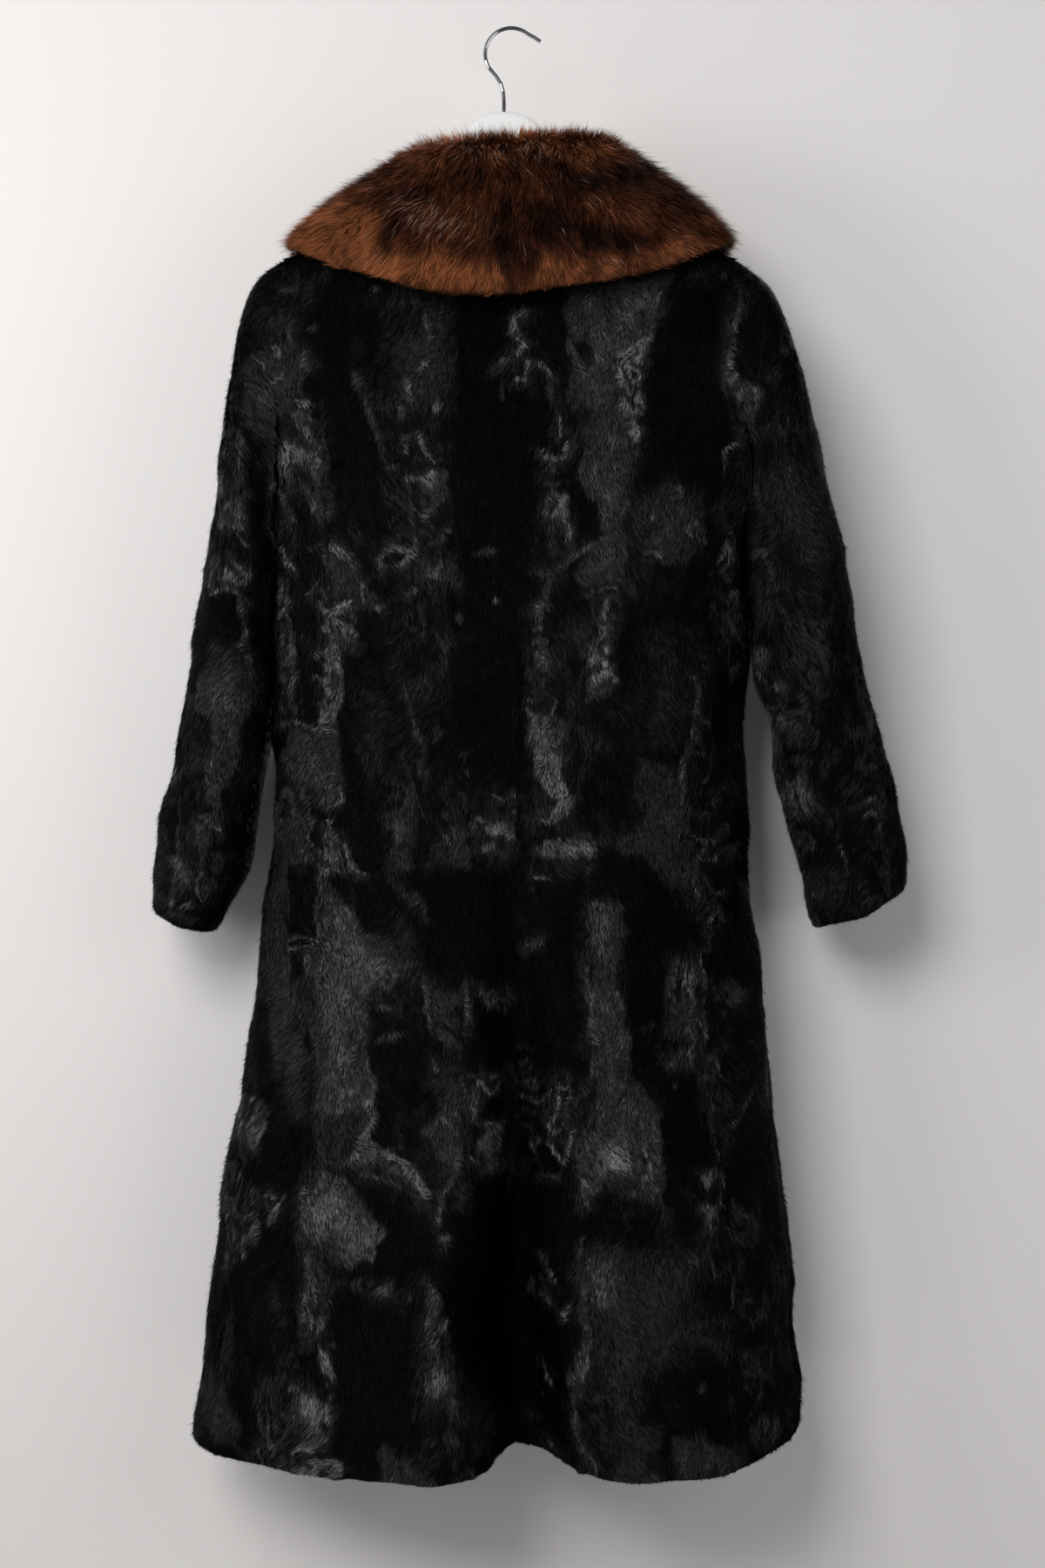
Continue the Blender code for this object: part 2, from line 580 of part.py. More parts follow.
def finish_middle_panel(name, side, face, skin, seam_at_middle, collection):
    """Turns the skin of a back or front panel into its wall, with its edges in their planes."""
    outer, normals, thick, neck_cells = skin
    sign = SIDES[side]
    armhole = armhole_plane(side)
    shoulder = np.array([0.0, 1.0, 0.0])
    neck = neck_plane()
    top = normals[-1]
    top[neck_cells:] = unit(without(np.array([sign * 0.35, 0.0, 1.0]), shoulder))
    above = (normals[-1, :neck_cells] * neck).sum(axis=-1, keepdims=True) < 0
    flat = unit(without(normals[-1, :neck_cells], neck))
    top[:neck_cells] = np.where(above, flat, normals[-1, :neck_cells])
    edge = normals[CORNER_ROW:, -1]
    normals[CORNER_ROW:, -1] = unit(without(edge, armhole))
    normals[-1, -1] = unit(without(np.array([0.0, 0.0, 1.0]), armhole))
    inner = outer - thick * normals
    if seam_at_middle:
        part_seam(outer, inner, "first")
    below = (slice(0, CORNER_ROW), slice(-1, None))
    for grid in (outer, inner):
        grid[below] += unit(grid[:CORNER_ROW, -2:-1] - grid[below]) * SEAM_GAP / 2
        grid[CORNER_ROW:, -1] -= armhole * SEAM_GAP / 2
        grid[-1, neck_cells:] += shoulder * face * SEAM_GAP / 2
        grid[-1, : neck_cells + 1] -= neck * SEAM_GAP / 2
    return wall(name, outer, inner, BLACK_FUR, collection)


def armhole_plane(side):
    """Normal of the armhole's plane, pointing out into the sleeve."""
    slope = (ARMHOLE_BOTTOM_X - ARMHOLE_TOP_X) / (SHOULDER_HEIGHT - UNDERARM_HEIGHT)
    return unit(np.array([SIDES[side], 0.0, slope]))


def neck_plane():
    """Normal of the neck seam's plane, pointing up."""
    return unit(np.array([0.0, -NECK_TILT, 1.0]))


def side_panel(side, collection):
    """The panel under an arm, from the seam beside the back to the seam beside the front."""
    sign = SIDES[side]
    cells = 6
    column = np.linspace(0, 1, cells + 1)
    corner = corner_height()

    def turns(height, share):
        back = turn_at_share(panel_seam_share(side, 1, height), height, 1)
        front = turn_at_share(panel_seam_share(side, -1, height), height, -1)
        return mix(back, front, share)

    def reaches_armhole(height, share):
        out = body_point(turns(height, share) * sign, height)[..., 0] * sign
        return out - armhole_x(height)

    top = np.full(cells + 1, corner)
    for k in range(1, cells):
        low, high = UNDERARM_HEIGHT - 0.01, corner
        for _ in range(40):
            middle = (low + high) / 2
            if reaches_armhole(middle, column[k]) > 0:
                high = middle
            else:
                low = middle
        top[k] = low
    hem = HEM("height", turns(HEM_HEIGHT, column) * sign)
    start = -0.62
    first = ROWS[: CORNER_ROW + 1]
    heights = []
    for below, above in first:
        edge = mix(hem, FAN_HEIGHT, below)
        edge_above = mix(FAN_HEIGHT, SHOULDER_HEIGHT, above)
        plain = np.where(above > 0, edge_above, edge)
        squeezed = start + (plain - start) * (top - start) / (corner - start)
        heights.append(np.where(plain > start, squeezed, plain))
    height = np.array(heights)
    share = np.broadcast_to(column, height.shape)

    def point(at_share, at_height):
        return body_point(turns(at_height, at_share) * sign, at_height)

    outer = point(share, height)
    normals = skin_normals(point, share, height, 1e-4, 2e-4)
    outward = outer * [1, 1, 0] - [0, -0.01, 0]
    normals *= np.sign((normals * outward).sum(axis=-1, keepdims=True))
    armhole = armhole_plane(side)
    ring = outer[-1] - [0, 0, (SHOULDER_HEIGHT + UNDERARM_HEIGHT) / 2]
    normals[-1] = unit(without(unit(ring * [0, 1.6, 0.75]), armhole))
    normals[-1, 0] = unit(without(normals[-2, 0] * [0.2, 1, 0.2], armhole))
    normals[-1, -1] = unit(without(normals[-2, -1] * [0.2, 1, 0.2], armhole))
    inner = outer - PELT * normals
    part_seam(outer, inner, "first")
    part_seam(outer, inner, "last")
    for grid in (outer, inner):
        grid[-1] -= armhole * SEAM_GAP / 2
    return wall(f"side_{side}", outer, inner, BLACK_FUR, collection)


# --- sleeves ---
def armhole_ring(side):
    """The armhole's seam as points from the shoulder down its back and up its front."""
    heights = mix(SHOULDER_HEIGHT, UNDERARM_HEIGHT, np.linspace(0, 1, 400))
    loops = []
    for face in (1, -1):
        x = armhole_x(heights) * SIDES[side]
        half = BODY(side, heights)
        inside = np.abs(x) < half
        points = body_point(turn_at(x, heights, face), heights)[inside]
        loops.append(points)
    back, front = loops
    bottom = np.array([[armhole_x(UNDERARM_HEIGHT) * SIDES[side], 0.0, UNDERARM_HEIGHT]])
    return np.concatenate([back, bottom]), np.concatenate([front, bottom])


def evenly(points, count):
    """Points at even lengths along a polyline."""
    lengths = np.concatenate([[0], np.cumsum(np.linalg.norm(np.diff(points, axis=0), axis=1))])
    at = np.linspace(0, lengths[-1], count)
    return np.stack([np.interp(at, lengths, points[:, k]) for k in range(3)], axis=-1)


def sleeve_skin(side):
    """A function of station and degrees that gives a sleeve's outer skin."""
    table, sign = SLEEVES[side], SIDES[side]
    back, front = armhole_ring(side)
    degrees = np.linspace(-180, 180, 145)
    ring = np.concatenate([evenly(front, 73)[::-1], evenly(back, 73)[1:]])
    first = table.each()[0]
    top = np.array([first["outer_x"] * sign, first["outer_z"]])
    foot = np.array([first["inner_x"] * sign, first["inner_z"]])
    axis = (top - foot) / np.linalg.norm(top - foot)
    length = np.linalg.norm(top - foot)
    ring_out = ((ring[:, [0, 2]] - foot) @ axis) / length * 2 - 1
    ring_deep = ring[:, 1] / first["deep"]

    def point(station, degree):
        station, degree = np.broadcast_arrays(
            np.asarray(station, float), np.asarray(degree, float)
        )
        wrapped = (degree + 180) % 360 - 180
        angle = np.radians(wrapped)
        cos, sin = np.cos(angle), np.sin(angle)
        own_out = np.sign(cos) * np.abs(cos) ** (2 / SLEEVE_POWER)
        own_deep = np.sign(sin) * np.abs(sin) ** (2 / SLEEVE_POWER)
        share = smoothstep(station / SLEEVE_RINGS_BLENDED)
        out = mix(np.interp(wrapped, degrees, ring_out), own_out, share)
        deep = mix(np.interp(wrapped, degrees, ring_deep), own_deep, share)
        outer_x, outer_z = table("outer_x", station), table("outer_z", station)
        inner_x, inner_z = table("inner_x", station), table("inner_z", station)
        x = mix(inner_x, outer_x, (out + 1) / 2)
        z = mix(inner_z, outer_z, (out + 1) / 2)
        y = table("deep", station) * deep
        sunk = np.zeros_like(x)
        for crease in CREASES.each():
            up = (station - crease["station"]) / crease["tall"]
            around = ((wrapped - crease["degrees"] + 180) % 360 - 180) / crease["wide"]
            sunk = sunk + crease["depth"] * np.exp(-(up**2) - around**2)
        middle_x = (outer_x + inner_x) / 2
        x = x - sunk * (x - middle_x) / 0.04
        y = y * (1 - sunk / table("deep", station))
        z = z - table("pitch", station) * y
        return np.stack([x * sign, y + table("middle_y", station), z], axis=-1)

    return point


def sleeve_piece(side, part, skin, collection):
    """One of a sleeve's two pieces, between its hind and fore seams."""
    stations = np.concatenate([np.linspace(0, 6, 11), np.linspace(6, 14, 12)[1:]])
    hind = SLEEVE_SEAMS(f"{side}_hind", stations)
    fore = SLEEVE_SEAMS(f"{side}_fore", stations)
    start, end = (fore, hind) if part == "upper" else (hind, fore + 360)
    cells = 10
    column = np.linspace(0, 1, cells + 1)
    degrees = mix(start[:, None], end[:, None], column[None, :])
    station = np.broadcast_to(stations[:, None], degrees.shape)
    inside = np.clip(station, 0.02, 13.98)
    outer = skin(station, degrees)
    normals = skin_normals(skin, inside, degrees, 0.02, 0.4)
    middle = (skin(station, degrees * 0) + skin(station, degrees * 0 + 180)) / 2
    facing = ((outer - middle) * normals).sum(axis=-1)
    normals *= np.sign(facing.mean())
    armhole = armhole_plane(side)
    centre = np.array([0, 0, (SHOULDER_HEIGHT + UNDERARM_HEIGHT) / 2])
    ring = (outer[0] - centre) * [0, 1.6, 0.75]
    normals[0] = unit(without(unit(ring), armhole))
    inner = outer - PELT * normals
    part_seam(outer, inner, "first")
    part_seam(outer, inner, "last")
    for grid in (outer, inner):
        grid[0] += armhole * SEAM_GAP / 2
    return wall(f"sleeve_{side}_{part}", outer, inner, BLACK_FUR, collection)


# --- collar ---
def neck_curve(side, count):
    """Points of the neck seam from the centre back to the centre front of one side."""
    start_x = CENTRE_SEAM("x", NECK_HEIGHT) * SIDES[side]
    halves = []
    for face, first in ((1, start_x), (-1, COLLAR_FRONT_X)):
        begin = np.sign(first) * np.arcsin((abs(first) / NECK_HALF_WIDTH) ** (NECK_POWER / 2))
        turn = np.linspace(begin, math.pi / 2, 200)
        x = NECK_HALF_WIDTH * np.sign(turn) * np.abs(np.sin(turn)) ** (2 / NECK_POWER)
        y = neck_depth(x, face)
        curve = np.stack([x * SIDES[side], y, NECK_HEIGHT + NECK_TILT * y], axis=-1)
        halves.append(evenly(curve, count // 2 + 1))
    back, front = halves
    return np.concatenate([back, front[::-1][1:]])


def collar_profile(side, base, outward, place, edge):
    """The middle line of the collar at one place, its thickness and the side its fur is on."""
    up = np.array([0.0, 0.0, 1.0])
    fold_up, radius = COLLAR("fold_up", place), COLLAR_FOLD_RADIUS
    if side == "right":
        fold_up = fold_up + COLLAR("lift", place)
    stand = base - outward * (COLLAR_STAND_THICK / 2 + COLLAR_INSET)
    centre = stand + outward * COLLAR("fold_out", place) + up * fold_up
    line = [stand, stand + up * fold_up * 0.5 - outward * 0.001]
    thick = [COLLAR_STAND_THICK, COLLAR_STAND_THICK * 1.3]
    for degrees in (180, 135, 90, 50):
        angle = math.radians(degrees)
        line.append(centre + outward * radius * math.cos(angle) + up * radius * math.sin(angle))
        thick.append(0.011)
    top = line[-1]
    across = unit(edge - top)
    raised = unit(np.cross(np.cross(across, up), across))
    bend = mix(top, edge, COLLAR_BEND_SHARE) + raised * 2 * COLLAR("bulge", place)
    full = COLLAR("thick", place)
    for share in (0.15, 0.32, 0.5, 0.68, 0.84, 0.95, 1.0):
        point = (1 - share) ** 2 * top + 2 * share * (1 - share) * bend + share**2 * edge
        line.append(point)
        thick.append(mix(full, COLLAR_EDGE_THICK, smoothstep((share - 0.55) / 0.45)))
    line, thick = np.array(line), np.array(thick)
    along = unit(np.gradient(line, axis=0))
    sideways = unit(np.cross(outward, up))
    fur_side = unit(np.cross(along, sideways))
    return line, thick, fur_side


def collar_half(side, collection):
    """Half of the collar: stand, fold and fall in one shell with a rounded outer edge."""
    count = 16
    neck = neck_curve(side, count)
    lift = neck_plane() * NECK_CLEARANCE
    places = np.linspace(0, 2, count + 1)
    outer, inner = [], []
    for base, place in zip(neck, places):
        edge = np.array(
            [COLLAR("edge_x", place), COLLAR("edge_y", place), COLLAR(f"edge_{side}", place)]
        )
        edge[0] = edge[0] * SIDES[side]
        if place == 0:
            edge[0] = CENTRE_SEAM("x", NECK_HEIGHT)
        outward = unit((edge - base) * [1, 1, 0])
        line, thick, fur_side = collar_profile(side, base + lift, outward, place, edge)
        if (fur_side[-3] * [*outward[:2], 0.5]).sum() < 0:
            fur_side = -fur_side
        outer.append(line + fur_side * thick[:, None] / 2)
        inner.append(line - fur_side * thick[:, None] / 2)
    outer, inner = np.array(outer), np.array(inner)
    for grid in (outer, inner):
        grid[:, 0, 2] = NECK_HEIGHT + NECK_TILT * grid[:, 0, 1] + NECK_CLEARANCE
        grid[0, :, 0] = CENTRE_SEAM("x", NECK_HEIGHT) + SIDES[side] * SEAM_GAP / 2
    return wall(f"collar_{side}", outer, inner, MINK, collection)


# --- hanger ---
def hanger_top(out):
    """Height of the hanger's upper edge at a distance from x = 0 below the coat's shoulders."""
    slope = (NECK_HEIGHT - SHOULDER_HEIGHT) / (ARMHOLE_TOP_X - NECK_HALF_WIDTH)
    below = PELT * math.hypot(1, slope) + HANGER_CLEARANCE
    return NECK_HEIGHT - below - slope * (out - NECK_HALF_WIDTH)


def hanger_outline():
    """Half of the hanger's flat outline, from its crown to under its middle, to the left."""
    crown_foot = HANGER_TOP - CROWN_FOOT_DROP
    upper = [(out, HANGER_TOP - CROWN("drop", out)) for out in np.linspace(0, 0.040, 9)]
    upper.append((CROWN_HALF_WIDTH, crown_foot + 0.018))
    upper.append((CROWN_HALF_WIDTH + 0.008, crown_foot - 0.006))
    upper.append((CROWN_HALF_WIDTH + 0.020, crown_foot - 0.024))
    upper.append((NECK_HALF_WIDTH - 0.006, hanger_top(NECK_HALF_WIDTH) - 0.004))
    arm = [(out, hanger_top(out)) for out in np.linspace(0.095, HANGER_ARM_END, 7)]
    end_x, end_z = arm[-1]
    half = ARM_HEIGHT_END / 2
    tip = [
        (end_x + half * math.sin(a) * 0.9, end_z - half + half * math.cos(a))
        for a in np.radians([30, 60, 90, 120, 150])
    ]
    lower = []
    for out in np.linspace(HANGER_ARM_END, 0.0, 9):
        tall = mix(ARM_HEIGHT_IN, ARM_HEIGHT_END, out / HANGER_ARM_END)
        line = hanger_top(out) - tall if out > 0.07 else None
        low = hanger_top(0.07) - mix(ARM_HEIGHT_IN, ARM_HEIGHT_END, 0.07 / HANGER_ARM_END)
        lower.append((out, line if line is not None else low + 0.004 * (out / 0.07) ** 2 - 0.004))
    return upper + arm + tip + lower


def build_hanger(collection, cutters):
    """The wooden hanger, with a bore in its crown for the hook."""
    right = hanger_outline()
    outline = [(-x + HANGER_MIDDLE_X * (1 - x / 0.2), z) for x, z in reversed(right[1:-1])]
    outline += [(x + HANGER_MIDDLE_X * max(1 - x / 0.2, 0), z) for x, z in right]
    curve = bpy.data.curves.new("hanger_outline", "CURVE")
    curve.dimensions = "2D"
    curve.fill_mode = "BOTH"
    curve.extrude = HANGER_THICK / 2 - HANGER_EDGE
    curve.bevel_depth = HANGER_EDGE
    curve.bevel_resolution = 1
    curve.offset = -HANGER_EDGE
    spline = curve.splines.new("POLY")
    spline.points.add(len(outline) - 1)
    for place_on, (x, z) in zip(spline.points, outline):
        place_on.co = (x, z, 0.0, 1.0)
    spline.use_cyclic_u = True
    flat = bpy.data.objects.new("hanger_outline", curve)
    flat.rotation_euler = (math.pi / 2, 0.0, 0.0)
    collection.objects.link(flat)
    bpy.context.view_layer.update()
    evaluated = flat.evaluated_get(bpy.context.evaluated_depsgraph_get())
    data = bpy.data.meshes.new_from_object(evaluated)
    data.transform(flat.matrix_world)
    bpy.data.objects.remove(flat)
    solid = bmesh.new()
    solid.from_mesh(data)
    bmesh.ops.remove_doubles(solid, verts=solid.verts, dist=0.00002)
    bmesh.ops.recalc_face_normals(solid, faces=solid.faces)
    solid.to_mesh(data)
    solid.free()
    data.materials.clear()
    hanger = place("hanger", data, WHITE_PAINT, collection)

    bore = bmesh.new()
    bmesh.ops.create_cone(
        bore,
        cap_ends=True,
        segments=16,
        radius1=HOOK_WIRE / 2 + HOOK_BORE_CLEARANCE,
        radius2=HOOK_WIRE / 2 + HOOK_BORE_CLEARANCE,
        depth=2 * HOOK_BORE_DEPTH,
    )
    cutter_data = bpy.data.meshes.new("hook_bore")
    bore.to_mesh(cutter_data)
    bore.free()
    cutter = bpy.data.objects.new("hook_bore", cutter_data)
    cutter.location = (HANGER_MIDDLE_X, 0.0, HANGER_TOP)
    cutter.hide_render = True
    cutter.display_type = "WIRE"
    cutters.objects.link(cutter)
    cut = hanger.modifiers.new("hook_bore", "BOOLEAN")
    cut.object = cutter
    cut.operation = "DIFFERENCE"
    return hanger


def build_hook(collection):
    """The wire hook: a shank out of the crown, a bend, a round loop and a straight tip."""
    loop_z = HOOK_WIRE / 2 - HOOK_LOOP_RADIUS
    shank_x = HANGER_MIDDLE_X
    points = [(shank_x, HANGER_TOP - HOOK_BORE_DEPTH + 0.001)]
    points += [(shank_x, z) for z in (HANGER_TOP, HANGER_TOP + 0.010)]
    points += [(shank_x + 0.0006, -0.0535), (shank_x + 0.0026, -0.0465), (shank_x + 0.0068, -0.0400)]
    for degrees in range(-33, 131, 9):
        angle = math.radians(degrees)
        points.append(
            (
                HOOK_LOOP_X + HOOK_LOOP_RADIUS * math.cos(angle),
                loop_z + HOOK_LOOP_RADIUS * math.sin(angle),
            )
        )
    points += [(mix(points[-1][0], HOOK_TIP[0], 0.5), mix(points[-1][1], HOOK_TIP[1], 0.45)), HOOK_TIP]
    curve = bpy.data.curves.new("hanger_hook", "CURVE")
    curve.dimensions = "3D"
    curve.bevel_depth = HOOK_WIRE / 2
    curve.bevel_resolution = 2
    curve.use_fill_caps = True
    spline = curve.splines.new("POLY")
    spline.points.add(len(points) - 1)
    for place_on, (x, z) in zip(spline.points, points):
        place_on.co = (x, 0.0, z, 1.0)
    hook = bpy.data.objects.new("hanger_hook", curve)
    curve.materials.append(material(*CHROME))
    collection.objects.link(hook)
    return hook


def main():
    """Builds the coat and its hanger."""
    for piece in list(bpy.data.objects):
        bpy.data.objects.remove(piece)
    coat = bpy.data.collections.new(NAME)
    cutters = bpy.data.collections.new("cutters")
    bpy.context.scene.collection.children.link(coat)
    bpy.context.scene.collection.children.link(cutters)
    for side, sign in SIDES.items():
        def centre(height):
            return CENTRE_SEAM("x", height)

        skin = middle_panel(side, 1, centre, 7, 9)
        finish_middle_panel(f"back_{side}", side, 1, skin, True, coat)
        side_panel(side, coat)
    upper = middle_panel("right", -1, lambda height: LAP_EDGE, 7, 6)
    finish_middle_panel("front_right", "right", -1, upper, False, coat)
    under = middle_panel("left", -1, lambda height: UNDER_LAP_EDGE, 7, 6, lap_recess)
    finish_middle_panel("front_left", "left", -1, under, False, coat)
    for side in SIDES:
        skin = sleeve_skin(side)
        for part in ("upper", "under"):
            sleeve_piece(side, part, skin, coat)
        collar_half(side, coat)
    build_hanger(coat, cutters)
    build_hook(coat)


main()
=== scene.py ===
"""Dresses the fur coat on its hanger: pelts, watered pile, mink collar, painted wood and wire.

Every pelt is a thin shell made from its own solid, with a pile of flat lying hairs on it. The pile
is "watered": in places it shines, in others it swallows the light, and in between it curls. The
shine is painted sheen in the hairs' colour. The collar carries long guard hairs over dense
underfur.
"""

from __future__ import annotations

import json
import logging
import math
from collections.abc import Iterable, Iterator, Mapping
from dataclasses import dataclass, field
from enum import Enum

import bpy
import numpy as np
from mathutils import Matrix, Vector
from mathutils.bvhtree import BVHTree

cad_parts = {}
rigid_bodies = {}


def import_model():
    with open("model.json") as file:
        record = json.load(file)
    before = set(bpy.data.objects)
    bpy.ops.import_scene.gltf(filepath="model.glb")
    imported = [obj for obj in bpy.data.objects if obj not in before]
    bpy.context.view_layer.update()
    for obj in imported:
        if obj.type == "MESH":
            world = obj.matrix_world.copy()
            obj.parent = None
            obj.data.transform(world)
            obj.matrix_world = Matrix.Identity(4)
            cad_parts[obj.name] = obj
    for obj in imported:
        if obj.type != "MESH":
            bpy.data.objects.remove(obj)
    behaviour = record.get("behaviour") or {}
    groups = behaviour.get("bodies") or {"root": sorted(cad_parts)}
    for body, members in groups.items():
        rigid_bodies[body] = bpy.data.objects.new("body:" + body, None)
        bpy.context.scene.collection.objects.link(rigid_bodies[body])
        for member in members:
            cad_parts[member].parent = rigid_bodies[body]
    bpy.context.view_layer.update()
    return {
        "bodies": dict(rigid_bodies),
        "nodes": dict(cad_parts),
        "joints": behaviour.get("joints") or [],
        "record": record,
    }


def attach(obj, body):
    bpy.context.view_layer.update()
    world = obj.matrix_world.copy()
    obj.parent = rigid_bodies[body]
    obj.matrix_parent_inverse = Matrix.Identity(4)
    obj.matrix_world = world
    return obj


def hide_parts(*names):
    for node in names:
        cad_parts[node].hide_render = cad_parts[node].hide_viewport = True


LOG = logging.getLogger("fur_coat")
BODY = "root"
NAP_MAP = "Nap"  # tone of a hair across, root to tip upwards
BAKE_MAP = "OFBake"
# Name of the attribute that holds each shell point's tone: painted sheen on the black pelts, the
# mink's tone on the collar.
SHEEN_AND_TONE = "sheen_and_tone"
SEAM = 9e-4  # pieces closer than this are sewn together, in metres
SEAM_CLOSING = 0.7  # share of the gap at a seam that each piece closes
WELD = 1e-5  # points closer than this are joined, in metres
QUAD_ANGLE = math.radians(50)  # triangles that fold less than this are joined to quads
WALL_REACH = 0.05  # how far inwards the other side of a pelt is looked for, in metres
RAY_START = 2e-4  # and how far below the surface that starts
SHADES = {"Shade": "Color", "Shine": "Color"}
# Each paler colour of a hair, and the tones between which it comes in.
HAIR_STEPS = (("Middle", 0.0, 0.38), ("Light", 0.38, 0.78), ("Pale", 0.82, 0.98))
ROOT_SHADE_END = 0.7  # share of a hair's length over which its root's shade fades
NAP_DRAWN = (1.0, 1.0, 0.16)  # the nap's lines are drawn out along z
NAP_HEIGHT, GRAIN_HEIGHT = 0.0015, 0.001  # full height of their bumps, in metres
GRAIN_ROUGH = (0.3, 0.6)  # roughness that the grain gives, from low to high
DOWN = np.array([0.0, 0.0, -1.0])
AREA_REACH, CURL_REACH = 0.012, 0.016  # how far shapes act past their points, in metres
PATCH_REACH = 1.8  # how far a patch acts, in half sizes
BROAD_SIDE = 0.062  # an area this wide both ways is calm, in metres
Colour = tuple[float, float, float]
Points = tuple[tuple[float, float], ...]
Box = tuple[float, float, float, float]


class Face(Enum):
    """The side of the coat that a pelt lies on."""

    BACK = "back"
    FRONT = "front"
    ROUND = "round"


# ---------------------------------------------------------------- helpers

# The noise's hash: a factor for each axis and for the seed, then two rounds of mixing.
HASH_AXES = np.array([73856093, 19349663, 83492791])
HASH_SEED, HASH_FIRST, HASH_SECOND = 9176917, 2654435761, 2246822519
WORD, HALF_WORD = 0xFFFFFFFF, 0xFFFF


def unit(vectors: np.ndarray) -> np.ndarray:
    """Scale vectors to length one.

    Args:
        vectors: an array whose last axis is x, y, z.

    Returns:
        The unit vectors.
    """
    return vectors / np.maximum(np.linalg.norm(vectors, axis=-1, keepdims=True), 1e-12)


def smoothstep(low: float, high: float, value: np.ndarray) -> np.ndarray:
    """Ease from 0 at low to 1 at high."""
    share = np.clip((value - low) / (high - low), 0.0, 1.0)
    return share * share * (3.0 - 2.0 * share)


@dataclass(frozen=True)
class Lumps:
    """One noise: the size of its lumps along x, y and z in metres, and its seed."""

    size: tuple[float, float, float]
    seed: int


def noise(places: np.ndarray, lumps: Lumps) -> np.ndarray:
    """Smooth value noise in space.

    Args:
        places: points in metres, one a row.
        lumps: which noise to give.

    Returns:
        One value from 0 to 1 for each point.
    """
    spot = places / np.asarray(lumps.size)
    cell = np.floor(spot).astype(np.int64)
    part = spot - cell
    part = part * part * (3.0 - 2.0 * part)
    total = np.zeros(len(places))
    for corner in range(8):
        step = np.array([corner & 1, corner >> 1 & 1, corner >> 2 & 1])
        key = cell + step
        mixed = (key * HASH_AXES).T
        mixed = mixed[0] ^ mixed[1] ^ mixed[2] ^ lumps.seed * HASH_SEED
        mixed = ((mixed & WORD) * HASH_FIRST) & WORD
        mixed = ((mixed ^ (mixed >> 15)) * HASH_SECOND) & WORD
        value = ((mixed ^ (mixed >> 13)) & HALF_WORD) / HALF_WORD
        total += value * np.where(step == 1, part, 1.0 - part).prod(axis=1)
    return total


def turned(vectors: np.ndarray, axes: np.ndarray, angles: np.ndarray) -> np.ndarray:
    """Turn vectors about unit axes that are square to them.

    Args:
        vectors: the vectors, one a row.
        axes: one unit axis for each.
        angles: one angle for each, in radians.

    Returns:
        The turned vectors.
    """
    angles = angles[:, None]
    return vectors * np.cos(angles) + np.cross(axes, vectors) * np.sin(angles)


def points_of(mesh: bpy.types.Mesh) -> np.ndarray:
    """Read a mesh's points, one a row."""
    places = np.zeros(len(mesh.vertices) * 3)
    mesh.vertices.foreach_get("co", places)
    return places.reshape(-1, 3)


def mark_sheen_and_tone(mesh: bpy.types.Mesh, sheen_and_tone: np.ndarray) -> None:
    """Write the fur's sheen and tone on a mesh's points: painted sheen on the black pelts, the
    mink's tone on the collar.
    """
    made = mesh.attributes.new(SHEEN_AND_TONE, "FLOAT", "POINT")
    made.data.foreach_set("value", sheen_and_tone.astype(np.float32))


def in_surface(ways: np.ndarray, normals: np.ndarray) -> np.ndarray:
    """Lay vectors into the surface: drop what stands along the normals, at length one."""
    return unit(ways - (ways * normals).sum(axis=1, keepdims=True) * normals)


def raised(lay: np.ndarray, normals: np.ndarray, rise: np.ndarray) -> np.ndarray:
    """Raise the ways that hairs lie by an angle each, towards the normals."""
    return lay * np.cos(rise)[:, None] + normals * np.sin(rise)[:, None]


def put_on(pieces: Iterable[bpy.types.Object], node: str, slot: str) -> None:
    """Fix a shell and its furs to the coat's body in place of its node.

    Args:
        pieces: the shell, then its furs.
        node: the node that the shell stands for.
        slot: not used.
    """
    for piece in pieces:
        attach(piece, BODY)
    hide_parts(node)


def only(thing: bpy.types.Object) -> None:
    """Select one object alone and make it the active one."""
    bpy.ops.object.select_all(action="DESELECT")
    thing.select_set(True)
    bpy.context.view_layer.objects.active = thing


# ---------------------------------------------------------------- the watered pile


def in_pairs(numbers: Iterable[float]) -> Points:
    """Read x and z in turn, in millimetres."""
    x_and_z = iter(numbers)
    return tuple((x / 1e3, z / 1e3) for x, z in zip(x_and_z, x_and_z))


def box_around(points: Points, reach: float) -> Box:
    """Give the least and greatest x, then z, within reach of some points."""
    xs, zs = zip(*points)
    return min(xs) - reach, max(xs) + reach, min(zs) - reach, max(zs) + reach


def far_from_line(
    x: np.ndarray, z: np.ndarray, start: tuple[float, float], run: float, rise: float
) -> np.ndarray:
    """Give the distance of places from a straight line.

    Args:
        x: the places' x.
        z: their z.
        start: where the line starts.
        run: how far it goes along x.
        rise: how far it goes along z.

    Returns:
        One distance for each place.
    """
    x0, z0 = start
    share = ((x - x0) * run + (z - z0) * rise) / max(run**2 + rise**2, 1e-9)
    share = np.clip(share, 0, 1)
    return np.hypot(x - x0 - share * run, z - z0 - share * rise)


@dataclass(frozen=True)
class Patch:
    """A place in the fur: its middle, half its size, its lean in degrees and its value."""

    x: float
    z: float
    wide: float
    tall: float
    lean: float
    value: float

    @classmethod
    def from_row(cls, row: tuple[float, ...]) -> "Patch":
        """Read a row of millimetres, degrees and per cent."""
        x, z, wide, tall, lean, value = row
        return cls(x / 1e3, z / 1e3, wide / 1e3, tall / 1e3, lean, value / 100)

    def box(self) -> Box:
        """Give the least and greatest x and z that the patch can reach."""
        return box_around(((self.x, self.z),), PATCH_REACH * max(self.wide, self.tall))

    def far(self, x: np.ndarray, z: np.ndarray) -> np.ndarray:
        """Give the distance from the middle, 1 at the patch's rim.

        Args:
            x: the places' x.
            z: their z.

        Returns:
            One distance for each place.
        """
        lean = math.radians(self.lean)
        across = (x - self.x) * math.cos(lean) + (z - self.z) * math.sin(lean)
        along = (z - self.z) * math.cos(lean) - (x - self.x) * math.sin(lean)
        return np.hypot(across / self.wide, along / self.tall)


